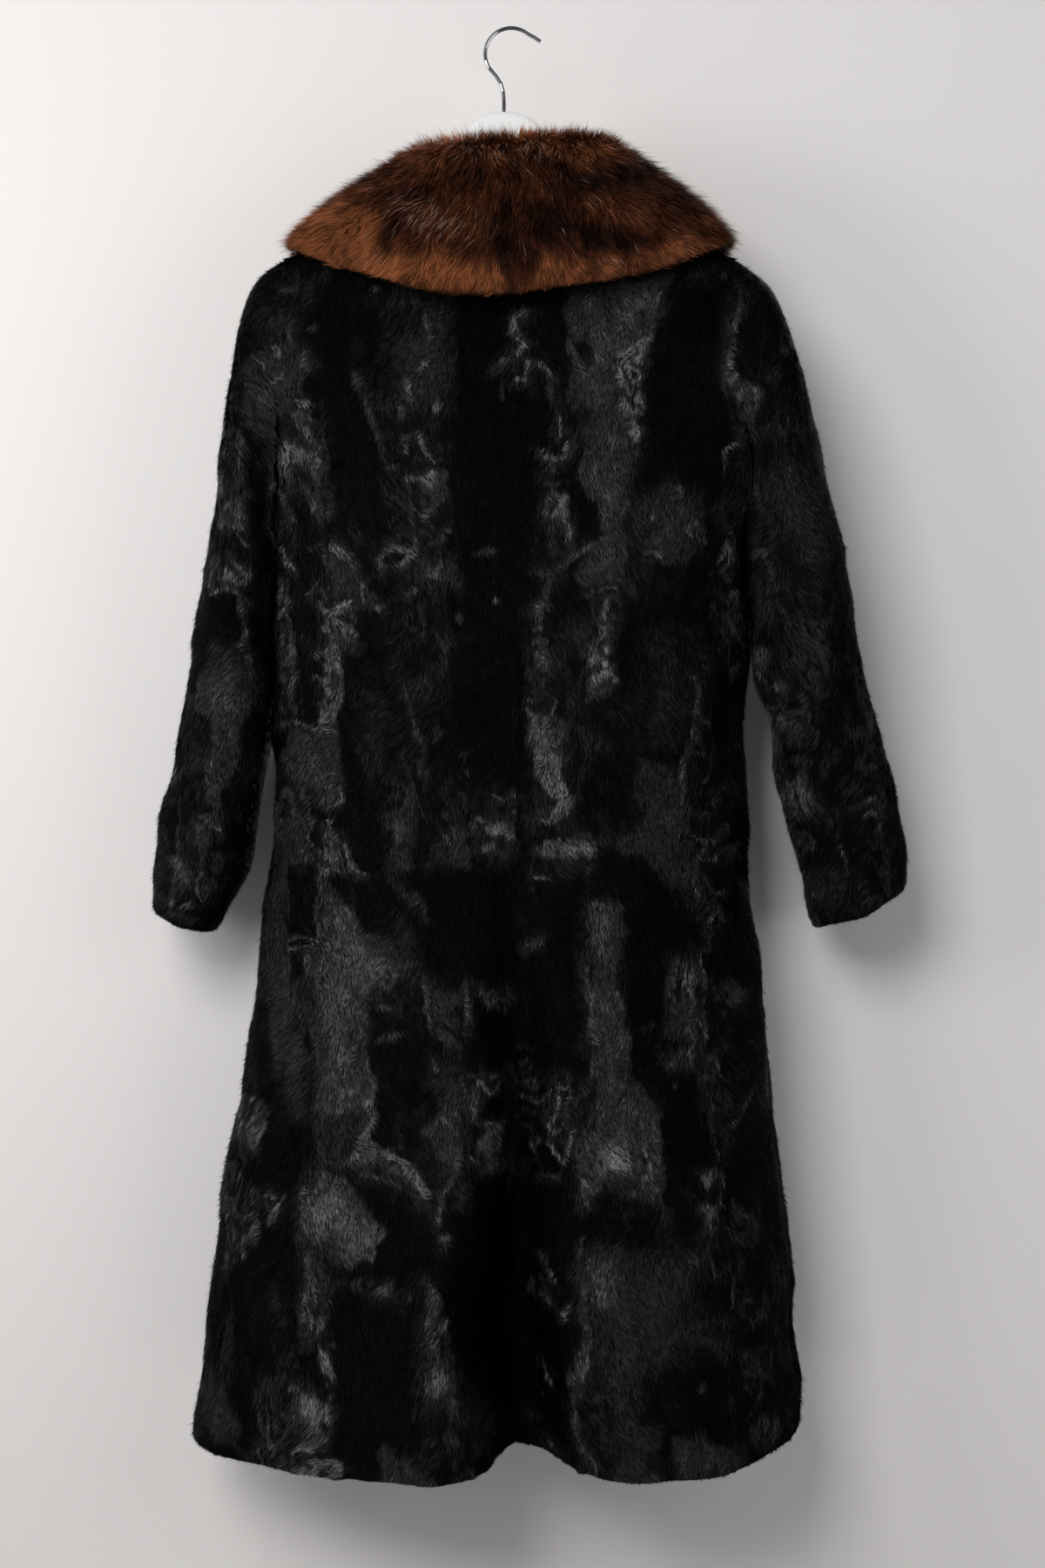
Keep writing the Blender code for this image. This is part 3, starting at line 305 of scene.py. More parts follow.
@dataclass(frozen=True)
class Stroke:
    """A narrow curl of painted sheen on the pile: half its width, its value and the points it runs
    through.
    """

    half: float
    value: float
    points: Points

    @classmethod
    def from_row(cls, row: tuple[float, ...]) -> "Stroke":
        """Read a row of half width in millimetres, value in per cent, then x and z in turn."""
        half, value, *rest = row
        return cls(half / 1e3, value / 100, in_pairs(rest))

    def box(self) -> Box:
        """Give the least and greatest x and z that the stroke can reach."""
        return box_around(self.points, CURL_REACH)

    def offset(self, x: np.ndarray, z: np.ndarray) -> tuple[np.ndarray, np.ndarray]:
        """Give the distance from the stroke's line and the side of it, 1 or -1.

        Args:
            x: the places' x.
            z: their z.

        Returns:
            The distances and the sides.
        """
        least, side = np.full(len(x), np.inf), np.ones(len(x))
        for (x0, z0), (x1, z1) in zip(self.points, self.points[1:]):
            run, rise = x1 - x0, z1 - z0
            far = far_from_line(x, z, (x0, z0), run, rise)
            side = np.where(far < least, np.sign(run * (z - z0) - rise * (x - x0)), side)
            least = np.minimum(least, far)
        return least, side


@dataclass(frozen=True)
class Zone:
    """A broad area of the pile: its value of painted sheen, the softness of its rim and its
    outline.
    """

    value: float
    soft: float
    points: Points

    @classmethod
    def from_row(cls, row: tuple[float, ...]) -> "Zone":
        """Read a row of value in per cent, softness in millimetres, then x and z in turn."""
        value, soft, *rest = row
        return cls(value / 100, soft / 1e3, in_pairs(rest))

    def box(self) -> Box:
        """Give the least and greatest x and z that the area can reach."""
        return box_around(self.points, AREA_REACH)

    @property
    def broad(self) -> bool:
        """Tell whether the area is wide both ways, and so calm."""
        left, right, low, high = self.box()
        return min(right - left, high - low) > BROAD_SIDE

    def depth(self, x: np.ndarray, z: np.ndarray) -> np.ndarray:
        """Give how deep inside the outline the places lie, below 0 outside it.

        Args:
            x: the places' x.
            z: their z.

        Returns:
            One depth for each place.
        """
        least, inside = np.full(len(x), np.inf), np.zeros(len(x), bool)
        for (x0, z0), (x1, z1) in zip(self.points, self.points[1:] + self.points[:1]):
            run, rise = x1 - x0, z1 - z0
            least = np.minimum(least, far_from_line(x, z, (x0, z0), run, rise))
            if rise:
                inside ^= ((z0 > z) != (z1 > z)) & (x < run * (z - z0) / rise + x0)
        return np.where(inside, least, -least)


# Broad areas of painted sheen on the back and sleeves, later ones over earlier ones: value,
# softness, then x and z.
ZONE_ROWS: tuple[tuple[float, ...], ...] = (
    (1, 8, 47, -249, 9, -253, 0, -315, -17, -337, -16, -526, 0, -620, 44, -620, 50, -494, 46, -337),
    (3, 8, 166, -306, 135, -290, 97, -388, 88, -450, 119, -450, 144, -388),
    (1, 5, -136, -234, -182, -237, -185, -316, -177, -395, -107, -407, -110, -351, -136, -263),
    (1, 7, 66, -727, -8, -721, -8, -882, 32, -882, 35, -821, 69, -810, 84, -764),
    (1, 5, -8, -735, -60, -727, -66, -775, -63, -896, -8, -873),
    (2, 4, -71, -715, -134, -735, -151, -744, -148, -787, -134, -793, -120, -850, -99, -844, -97,
     -775, -91, -750, -65, -750),
    (1, 5, -122, -902, -157, -891, -166, -925, -168, -968, -131, -968),
    (1, 4, 55, -983, 3, -978, 3, -1169, 31, -1142, 47, -1127, 51, -1038),
    (3, 8, 144, -1075, 73, -1085, 78, -1142, 89, -1190, 105, -1192, 115, -1216, 144, -1208, 146,
     -1116), (1, 4, 5, -978, -57, -980, -55, -1075, -46, -1190, 5, -1178),
    (24, 6, 220, -287, 188, -281, 169, -303, 179, -331, 198, -359, 216, -359, 226, -325),
    (30, 4, 182, -337, 166, -350, 154, -388, 149, -431, 158, -438, 172, -400, 180, -362),
    (38, 5, 198, -366, 172, -362, 176, -397, 198, -403),
    (22, 5, 207, -406, 188, -403, 179, -431, 188, -438, 204, -431),
    (27, 4, 242, -350, 224, -356, 221, -431, 242, -438, 249, -400),
    (5, 3, 238, -375, 228, -381, 230, -413, 240, -413),
    (36, 4, 251, -460, 220, -463, 216, -488, 254, -488),
    (19, 7, 94, -275, 75, -256, 50, -249, 49, -337, 94, -347, 100, -315),
    (26, 3, 88, -391, 53, -391, 52, -413, 66, -431, 78, -431, 85, -413),
    (27, 3, 75, -463, 50, -460, 38, -485, 63, -491, 72, -478),
    (13, 5, 107, -397, 85, -400, 81, -453, 97, -450, 103, -425),
    (25, 4, 157, -460, 138, -453, 119, -488, 107, -507, 125, -504, 154, -497, 158, -478),
    (27, 4, 200, -460, 188, -472, 185, -526, 181, -601, 191, -601, 199, -526),
    (32, 2, 157, -500, 132, -500, 132, -529, 144, -538, 141, -566, 144, -604, 160, -604, 157, -569,
     160, -538, 151, -526), (30, 2, -31, -403, -47, -413, -53, -444, -35, -463, -28, -431),
    (27, 3, -25, -494, -35, -488, -31, -526, -19, -557, -16, -526),
    (27, 3, -16, -557, -41, -582, -47, -620, -38, -651, -16, -651, -13, -588),
    (27, 3, 191, -604, 144, -610, 147, -651, 191, -651),
    (33, 2, -43, -237, -131, -225, -132, -243, -122, -263, -119, -284, -112, -307, -113, -336, -106,
     -357, -104, -383, -98, -407, -95, -442, -98, -474, -90, -488, -60, -488, -54, -471, -66, -459,
     -78, -442, -72, -424, -63, -409, -59, -395, -57, -357, -69, -345, -60, -336, -53, -336, -51,
     -278), (10, 3, -81, -243, -90, -248, -87, -257, -79, -254),
    (10, 3, -59, -279, -71, -286, -69, -301, -63, -304, -57, -289),
    (45, 7, -90, -292, -110, -284, -113, -307, -110, -342, -101, -348, -90, -330),
    (32, 4, -60, -491, -90, -491, -90, -565, -69, -585, -63, -556, -75, -527, -66, -503),
    (50, 5, -66, -538, -87, -538, -84, -568, -68, -565),
    (24, 5, -110, -418, -136, -395, -163, -407, -164, -450, -148, -474, -133, -465, -113, -459),
    (36, 4, -186, -260, -193, -237, -198, -237, -192, -278, -198, -313, -213, -322, -210, -345,
     -198, -351, -186, -316),
    (16, 12, -198, -383, -233, -371, -268, -383, -286, -468, -262, -483, -233, -453, -210, -424),
    (28, 3, -180, -436, -189, -448, -192, -483, -183, -488, -174, -471),
    (30, 3, -177, -500, -192, -488, -195, -524, -177, -524),
    (25, 3, -177, -535, -196, -529, -195, -559, -186, -565),
    (42, 3, -207, -535, -215, -541, -221, -565, -236, -568, -233, -573, -215, -570, -210, -556),
    (20, 6, -151, -556, -163, -570, -166, -629, -154, -629),
    (11, 15, -107, -518, -151, -535, -151, -629, -107, -629),
    (22, 8, -248, -515, -265, -521, -265, -547, -251, -550),
    (27, 3, -16, -527, -34, -529, -31, -556, -19, -565),
    (30, 3, 196, -652, 181, -658, 170, -686, 164, -712, 181, -724, 196, -712, 202, -689),
    (4, 2, 194, -666, 186, -668, 186, -682, 192, -683),
    (30, 3, 184, -614, 144, -620, 144, -666, 155, -678, 170, -655, 184, -640),
    (38, 2, 158, -686, 150, -683, 127, -727, 161, -729),
    (27, 6, 199, -709, 187, -709, 186, -787, 170, -839, 167, -931, 184, -931, 199, -902, 204, -844,
     216, -830, 210, -758), (3, 3, 187, -724, 163, -724, 164, -781, 186, -784),
    (36, 2, 161, -735, 144, -741, 124, -770, 89, -798, 95, -821, 115, -833, 121, -862, 109, -902,
     109, -925, 124, -960, 164, -971, 164, -902, 167, -833, 173, -804, 161, -775),
    (20, 2, 158, -925, 118, -925, 124, -948, 130, -960, 158, -965),
    (45, 2, 124, -951, 107, -951, 66, -988, 72, -991, 112, -971, 132, -971),
    (20, 7, 107, -689, 84, -643, 75, -637, 72, -649, 81, -678, 84, -729, 72, -752, 69, -761, 92,
     -741, 104, -724), (22, 3, 66, -701, 49, -689, 32, -692, 35, -721, 52, -724),
    (17, 6, 72, -813, 55, -821, 38, -821, 35, -862, 49, -891, 69, -844),
    (30, 5, 69, -882, 52, -891, 32, -896, 35, -939, 49, -971, 55, -960, 72, -939, 58, -916),
    (36, 2, 32, -891, 9, -896, 6, -905, 23, -919, 17, -934, 6, -937, 6, -977, 29, -974, 32, -957,
     29, -937),
    (34, 2, -20, -617, -46, -640, -54, -666, -43, -686, -20, -689, -29, -666, -20, -643),
    (36, 2, -17, -698, -69, -695, -75, -709, -63, -715, -20, -712),
    (36, 2, 32, -681, 0, -689, -3, -701, 20, -695), (36, 2, 26, -701, 0, -706, 6, -715, 23, -712),
    (42, 3, 26, -827, 3, -824, 3, -839, 17, -842),
    (28, 4, 236, -914, 210, -919, 202, -931, 225, -974, 236, -960),
    (46, 4, 178, -1012, 172, -986, 157, -975, 136, -978, 115, -999, 102, -1022, 110, -1043, 125,
     -1051, 157, -1038, 175, -1030),
    (54, 9, 157, -993, 125, -996, 115, -1017, 125, -1038, 157, -1030, 165, -1012),
    (2, 2, 136, -975, 110, -978, 60, -996, 60, -1054, 115, -1054, 102, -1022, 115, -999),
    (26, 5, 248, -959, 230, -973, 214, -996, 212, -1043, 230, -1059, 243, -1069, 238, -1038, 248,
     -1012), (36, 2, 209, -996, 191, -996, 193, -1017, 201, -1022, 209, -1012),
    (10, 2, 204, -1000, 197, -1001, 199, -1008, 203, -1008),
    (45, 2, 170, -1054, 154, -1056, 152, -1106, 170, -1114, 174, -1085),
    (40, 3, 157, -1111, 146, -1116, 146, -1142, 157, -1137),
    (42, 2, 178, -1150, 148, -1153, 149, -1190, 159, -1208, 183, -1210, 180, -1179),
    (26, 4, 141, -1064, 94, -1059, 60, -1069, 52, -1085, 78, -1080, 115, -1069),
    (33, 3, 68, -1085, 52, -1088, 52, -1132, 42, -1142, 57, -1158, 73, -1171, 76, -1142, 68, -1116),
    (24, 6, 267, -1179, 248, -1137, 235, -1090, 233, -1142, 238, -1169, 220, -1216, 256, -1203),
    (28, 6, 217, -1208, 209, -1158, 191, -1137, 186, -1182, 186, -1221, 206, -1221),
    (27, 5, 110, -1221, 105, -1195, 84, -1203, 57, -1216, 55, -1231, 84, -1237, 110, -1231),
    (20, 5, 50, -1158, 31, -1148, 21, -1169, 10, -1184, 10, -1195, 31, -1203, 52, -1190),
    (36, 3, 183, -1221, 152, -1208, 141, -1210, 136, -1226, 162, -1229, 178, -1229),
    (42, 3, 57, -1022, 47, -1022, 50, -1035, 57, -1035),
    (36, 2, -65, -752, -91, -750, -97, -775, -88, -810, -94, -844, -102, -862, -99, -891, -125,
     -916, -122, -954, -128, -983, -122, -997, -97, -991, -79, -977, -65, -991, -58, -954, -71,
     -937, -71, -902, -62, -896, -68, -868, -65, -833, -62, -787),
    (46, 8, -76, -954, -111, -954, -120, -985, -99, -988, -79, -971),
    (32, 7, -137, -793, -157, -793, -163, -821, -160, -873, -151, -893, -131, -888, -140, -868,
     -131, -833),
    (23, 11, -108, -632, -151, -637, -153, -701, -151, -735, -134, -738, -102, -712, -71, -701,
     -105, -683), (20, 3, -168, -816, -203, -816, -203, -833, -186, -839, -171, -827),
    (22, 4, -157, -695, -200, -701, -197, -715, -157, -712),
    (25, 3, -157, -750, -180, -752, -180, -770, -160, -764),
    (38, 4, -232, -646, -252, -646, -255, -681, -240, -686, -235, -666),
    (28, 3, -240, -689, -258, -692, -260, -709, -243, -706),
    (25, 3, -246, -727, -266, -732, -269, -750, -249, -744),
    (25, 6, -304, -672, -321, -666, -324, -689, -306, -695),
    (20, 11, -57, -1033, -69, -1022, -110, -1028, -156, -1033, -177, -1024, -165, -1061, -151,
     -1084, -165, -1102, -184, -1116, -181, -1132, -156, -1121, -128, -1130, -105, -1139, -110,
     -1167, -119, -1199, -128, -1231, -78, -1233, -69, -1208, -89, -1199, -78, -1153, -64, -1098,
     -57, -1065), (38, 7, -59, -1035, -92, -1033, -101, -1065, -92, -1084, -66, -1084, -57, -1065),
    (36, 3, -154, -973, -172, -971, -177, -987, -165, -992),
    (30, 3, -147, -1003, -174, -1003, -179, -1019, -165, -1028, -156, -1015),
    (30, 3, -50, -1144, -59, -1111, -66, -1093, -66, -1111, -59, -1167, -62, -1199, -73, -1208, -76,
     -1233, -69, -1224, -55, -1190),
    (29, 5, -138, -1192, -161, -1187, -188, -1208, -188, -1226, -174, -1236, -138, -1236, -142,
     -1213), (19, 3, -186, -1008, -204, -1012, -207, -1028, -197, -1042, -184, -1038),
    (21, 3, -191, -1084, -214, -1084, -216, -1102, -202, -1111, -191, -1098),
    (17, 8, -193, -1125, -225, -1125, -223, -1155, -197, -1167, -193, -1155),
    (21, 5, -211, -1180, -234, -1187, -230, -1203, -207, -1213, -202, -1194),
    (14, 5, -220, -959, -234, -982, -237, -1040, -230, -1047, -225, -1005),
    (13, 5, -225, -1052, -237, -1047, -241, -1086, -246, -1144, -234, -1144, -230, -1098),
    (20, 3, -11, -1065, -36, -1075, -41, -1086, -16, -1086),
    (24, 5, -293, -551, -310, -584, -314, -641, -297, -641, -293, -596),
    (28, 3, -215, -584, -231, -584, -235, -621, -223, -629, -217, -608),
    (17, 8, -235, -517, -264, -526, -268, -551, -248, -563, -235, -542),
    (25, 5, -301, -666, -318, -662, -318, -691, -306, -695),
    (14, 6, -252, -728, -281, -716, -297, -724, -293, -761, -260, -769),
    (15, 6, -306, -708, -335, -699, -337, -736, -314, -749),
    (33, 4, 250, -538, 219, -538, 214, -563, 219, -588, 227, -613, 235, -638, 248, -672, 260, -668,
     258, -638, 248, -618, 252, -597, 269, -588, 269, -567),
    (24, 5, 279, -680, 256, -678, 250, -687, 256, -705, 267, -722, 279, -716),
    (27, 4, 292, -714, 277, -716, 271, -726, 269, -745, 281, -766, 296, -766, 296, -751),
    (20, 5, 258, -718, 242, -705, 244, -735, 256, -751, 269, -756),
    (30, 3, 290, -641, 279, -641, 281, -651, 290, -651),
    (0, 1.5, -4, -245, -10, -245, -11, -651, -15, -797, -15, -1200, -5, -1200, -5, -797, -3, -651),
)
# Small painted glints on the back and sleeves: x, z, half width, half height, lean, value.
SPOT_ROWS: tuple[tuple[float, ...], ...] = (
    (-204, -217, 3, 6, 0, 32), (-181, -222, 4, 3, 0, 22), (115, -236, 8, 4, 0, 42),
    (165, -268, 6, 4, 0, 37), (7, -320, 3, 11, 0, 28), (217, -320, 8, 4, 0, 42),
    (201, -320, 8, 8, 0, 35), (-200, -323, 11, 12, 0, 44), (-34, -324, 5, 11, 0, 32),
    (206, -333, 13, 15, 0, 35), (61, -335, 7, 8, 0, 68), (-204, -340, 7, 13, 0, 42),
    (91, -341, 5, 9, 0, 42), (198, -351, 5, 8, 0, 30), (-204, -357, 7, 8, 0, 24),
    (186, -369, 10, 13, 0, 34), (99, -387, 6, 3, 0, 36), (238, -422, 8, 10, 0, 37),
    (-218, -428, 10, 15, 0, 18), (-36, -438, 11, 13, 0, 25), (-152, -438, 9, 9, 0, 58),
    (-137, -438, 15, 13, 0, 20), (-120, -449, 9, 13, 0, 32), (-185, -454, 6, 11, 0, 32),
    (-34, -455, 8, 11, 0, 26), (19, -457, 13, 4, 0, 36), (248, -466, 7, 11, 0, 44),
    (56, -474, 15, 13, 0, 24), (237, -478, 12, 9, 0, 44), (141, -478, 12, 15, 0, 20),
    (-220, -479, 3, 6, 0, 55), (83, -490, 8, 4, 0, 58), (11, -500, 5, 3, 0, 60),
    (-186, -506, 8, 15, 0, 25), (147, -511, 8, 8, 0, 54), (84, -512, 6, 9, 0, 22),
    (40, -514, 3, 5, 0, 32), (41, -515, 4, 5, 0, 26), (-260, -527, 9, 8, 0, 26),
    (128, -537, 9, 8, 0, 13), (226, -537, 8, 3, 0, 38), (-263, -542, 9, 10, 0, 22),
    (-212, -546, 6, 10, 0, 45), (-26, -566, 7, 9, 0, 27), (150, -568, 7, 12, 0, 30),
    (-230, -569, 8, 5, 0, 50), (-113, -576, 4, 14, 0, 13), (-65, -584, 4, 4, 0, 26),
    (-141, -591, 12, 14, 0, 13), (152, -594, 7, 11, 0, 30), (248, -594, 8, 10, 0, 34),
    (-32, -598, 9, 9, 0, 29), (239, -599, 14, 16, 0, 37), (-239, -603, 13, 8, 0, 27),
    (-306, -607, 10, 7, 0, 22), (62, -608, 5, 12, 0, 20), (-32, -612, 6, 9, 0, 40),
    (-159, -612, 4, 4, 0, 45), (-243, -612, 12, 11, 0, 24), (181, -618, 6, 15, 0, 27),
    (-74, -620, 4, 4, 0, 30), (152, -626, 5, 8, 0, 40), (37, -627, 4, 3, 0, 38),
    (38, -628, 4, 3, 0, 32), (-250, -632, 10, 6, 0, 22), (-112, -633, 3, 7, 0, 30),
    (246, -633, 10, 11, 0, 35), (-309, -636, 10, 11, 0, 24), (76, -642, 6, 9, 0, 37),
    (35, -643, 2, 5, 0, 27), (288, -648, 5, 8, 0, 32), (-144, -652, 6, 14, 0, 32),
    (253, -658, 8, 10, 0, 38), (-250, -660, 6, 5, 0, 27), (-245, -668, 7, 7, 0, 40),
    (-126, -670, 7, 7, 0, 30), (-1, -676, 3, 4, 0, 38), (-32, -676, 14, 9, 0, 29),
    (-244, -678, 7, 7, 0, 37), (-252, -695, 10, 7, 0, 28), (265, -695, 10, 10, 0, 28),
    (84, -696, 6, 14, 0, 20), (-61, -697, 8, 6, 0, 42), (39, -710, 6, 9, 0, 24),
    (48, -713, 6, 9, 0, 40), (-250, -713, 7, 7, 0, 26), (278, -716, 10, 7, 0, 30),
    (251, -717, 10, 10, 0, 26), (-138, -724, 9, 14, 0, 26), (-65, -725, 4, 4, 0, 33),
    (-19, -725, 4, 4, 0, 22), (-255, -732, 7, 5, 0, 26), (-297, -736, 7, 7, 0, 16),
    (290, -741, 5, 12, 0, 28), (261, -741, 8, 14, 0, 29), (-139, -753, 4, 4, 0, 14),
    (-310, -754, 6, 4, 0, 32), (147, -756, 15, 14, 0, 37), (-258, -762, 6, 7, 0, 24),
    (-73, -773, 7, 9, 0, 32), (-77, -783, 7, 7, 0, 42), (-25, -784, 5, 4, 0, 52),
    (105, -788, 14, 9, 30, 32), (86, -803, 4, 5, 0, 52), (159, -810, 13, 13, 0, 38),
    (-148, -810, 7, 14, 0, 42), (-178, -828, 10, 7, 0, 19), (12, -832, 9, 5, 0, 30),
    (58, -838, 13, 15, 0, 24), (103, -839, 10, 3, 0, 42), (-181, -847, 4, 4, 0, 42),
    (-113, -855, 12, 6, 0, 14), (101, -863, 13, 4, -15, 40), (-177, -873, 6, 9, 0, 17),
    (-80, -877, 14, 14, 0, 36), (-142, -880, 9, 13, 0, 30), (-145, -880, 12, 9, 0, 28),
    (-149, -886, 4, 6, 0, 37), (-201, -889, 3, 3, 0, 27), (151, -900, 15, 13, 0, 28),
    (24, -903, 9, 13, 0, 30), (-138, -903, 2, 4, 0, 32), (-118, -926, 9, 7, 0, 36),
    (63, -937, 13, 13, 0, 20), (15, -948, 11, 15, 0, 48), (-115, -948, 7, 12, 0, 33),
    (18, -969, 13, 11, 0, 48), (-116, -980, 10, 12, 0, 36), (-169, -980, 7, 6, 0, 30),
    (-160, -1007, 7, 6, 0, 37), (239, -1013, 15, 11, 0, 35), (-164, -1016, 7, 9, 0, 22),
    (54, -1025, 5, 6, 0, 52), (233, -1039, 11, 15, 0, 28), (-152, -1047, 6, 7, 0, 37),
    (-122, -1057, 15, 15, 0, 18), (-88, -1072, 13, 15, 0, 32), (-178, -1125, 10, 8, 0, 20),
    (60, -1128, 11, 13, 0, 44), (151, -1146, 2, 4, 0, 32), (-75, -1151, 11, 7, 0, 26),
    (-158, -1151, 4, 5, 0, 30), (38, -1166, 9, 15, 0, 26), (-29, -1169, 2, 5, 0, 42),
    (-75, -1170, 11, 10, 0, 20), (264, -1174, 4, 7, 0, 32), (-201, -1177, 2, 2, 0, 38),
    (-80, -1185, 5, 13, 0, 22), (-114, -1188, 15, 16, 0, 22), (166, -1194, 15, 15, 0, 46),
    (229, -1194, 5, 9, 0, 24), (31, -1199, 15, 11, 0, 28), (100, -1199, 9, 11, 0, 24),
    (-188, -1210, 13, 15, 0, 18), (100, -1219, 11, 13, 0, 29), (-118, -1223, 11, 9, 0, 37),
    (73, -1228, 11, 11, 0, 22),
)
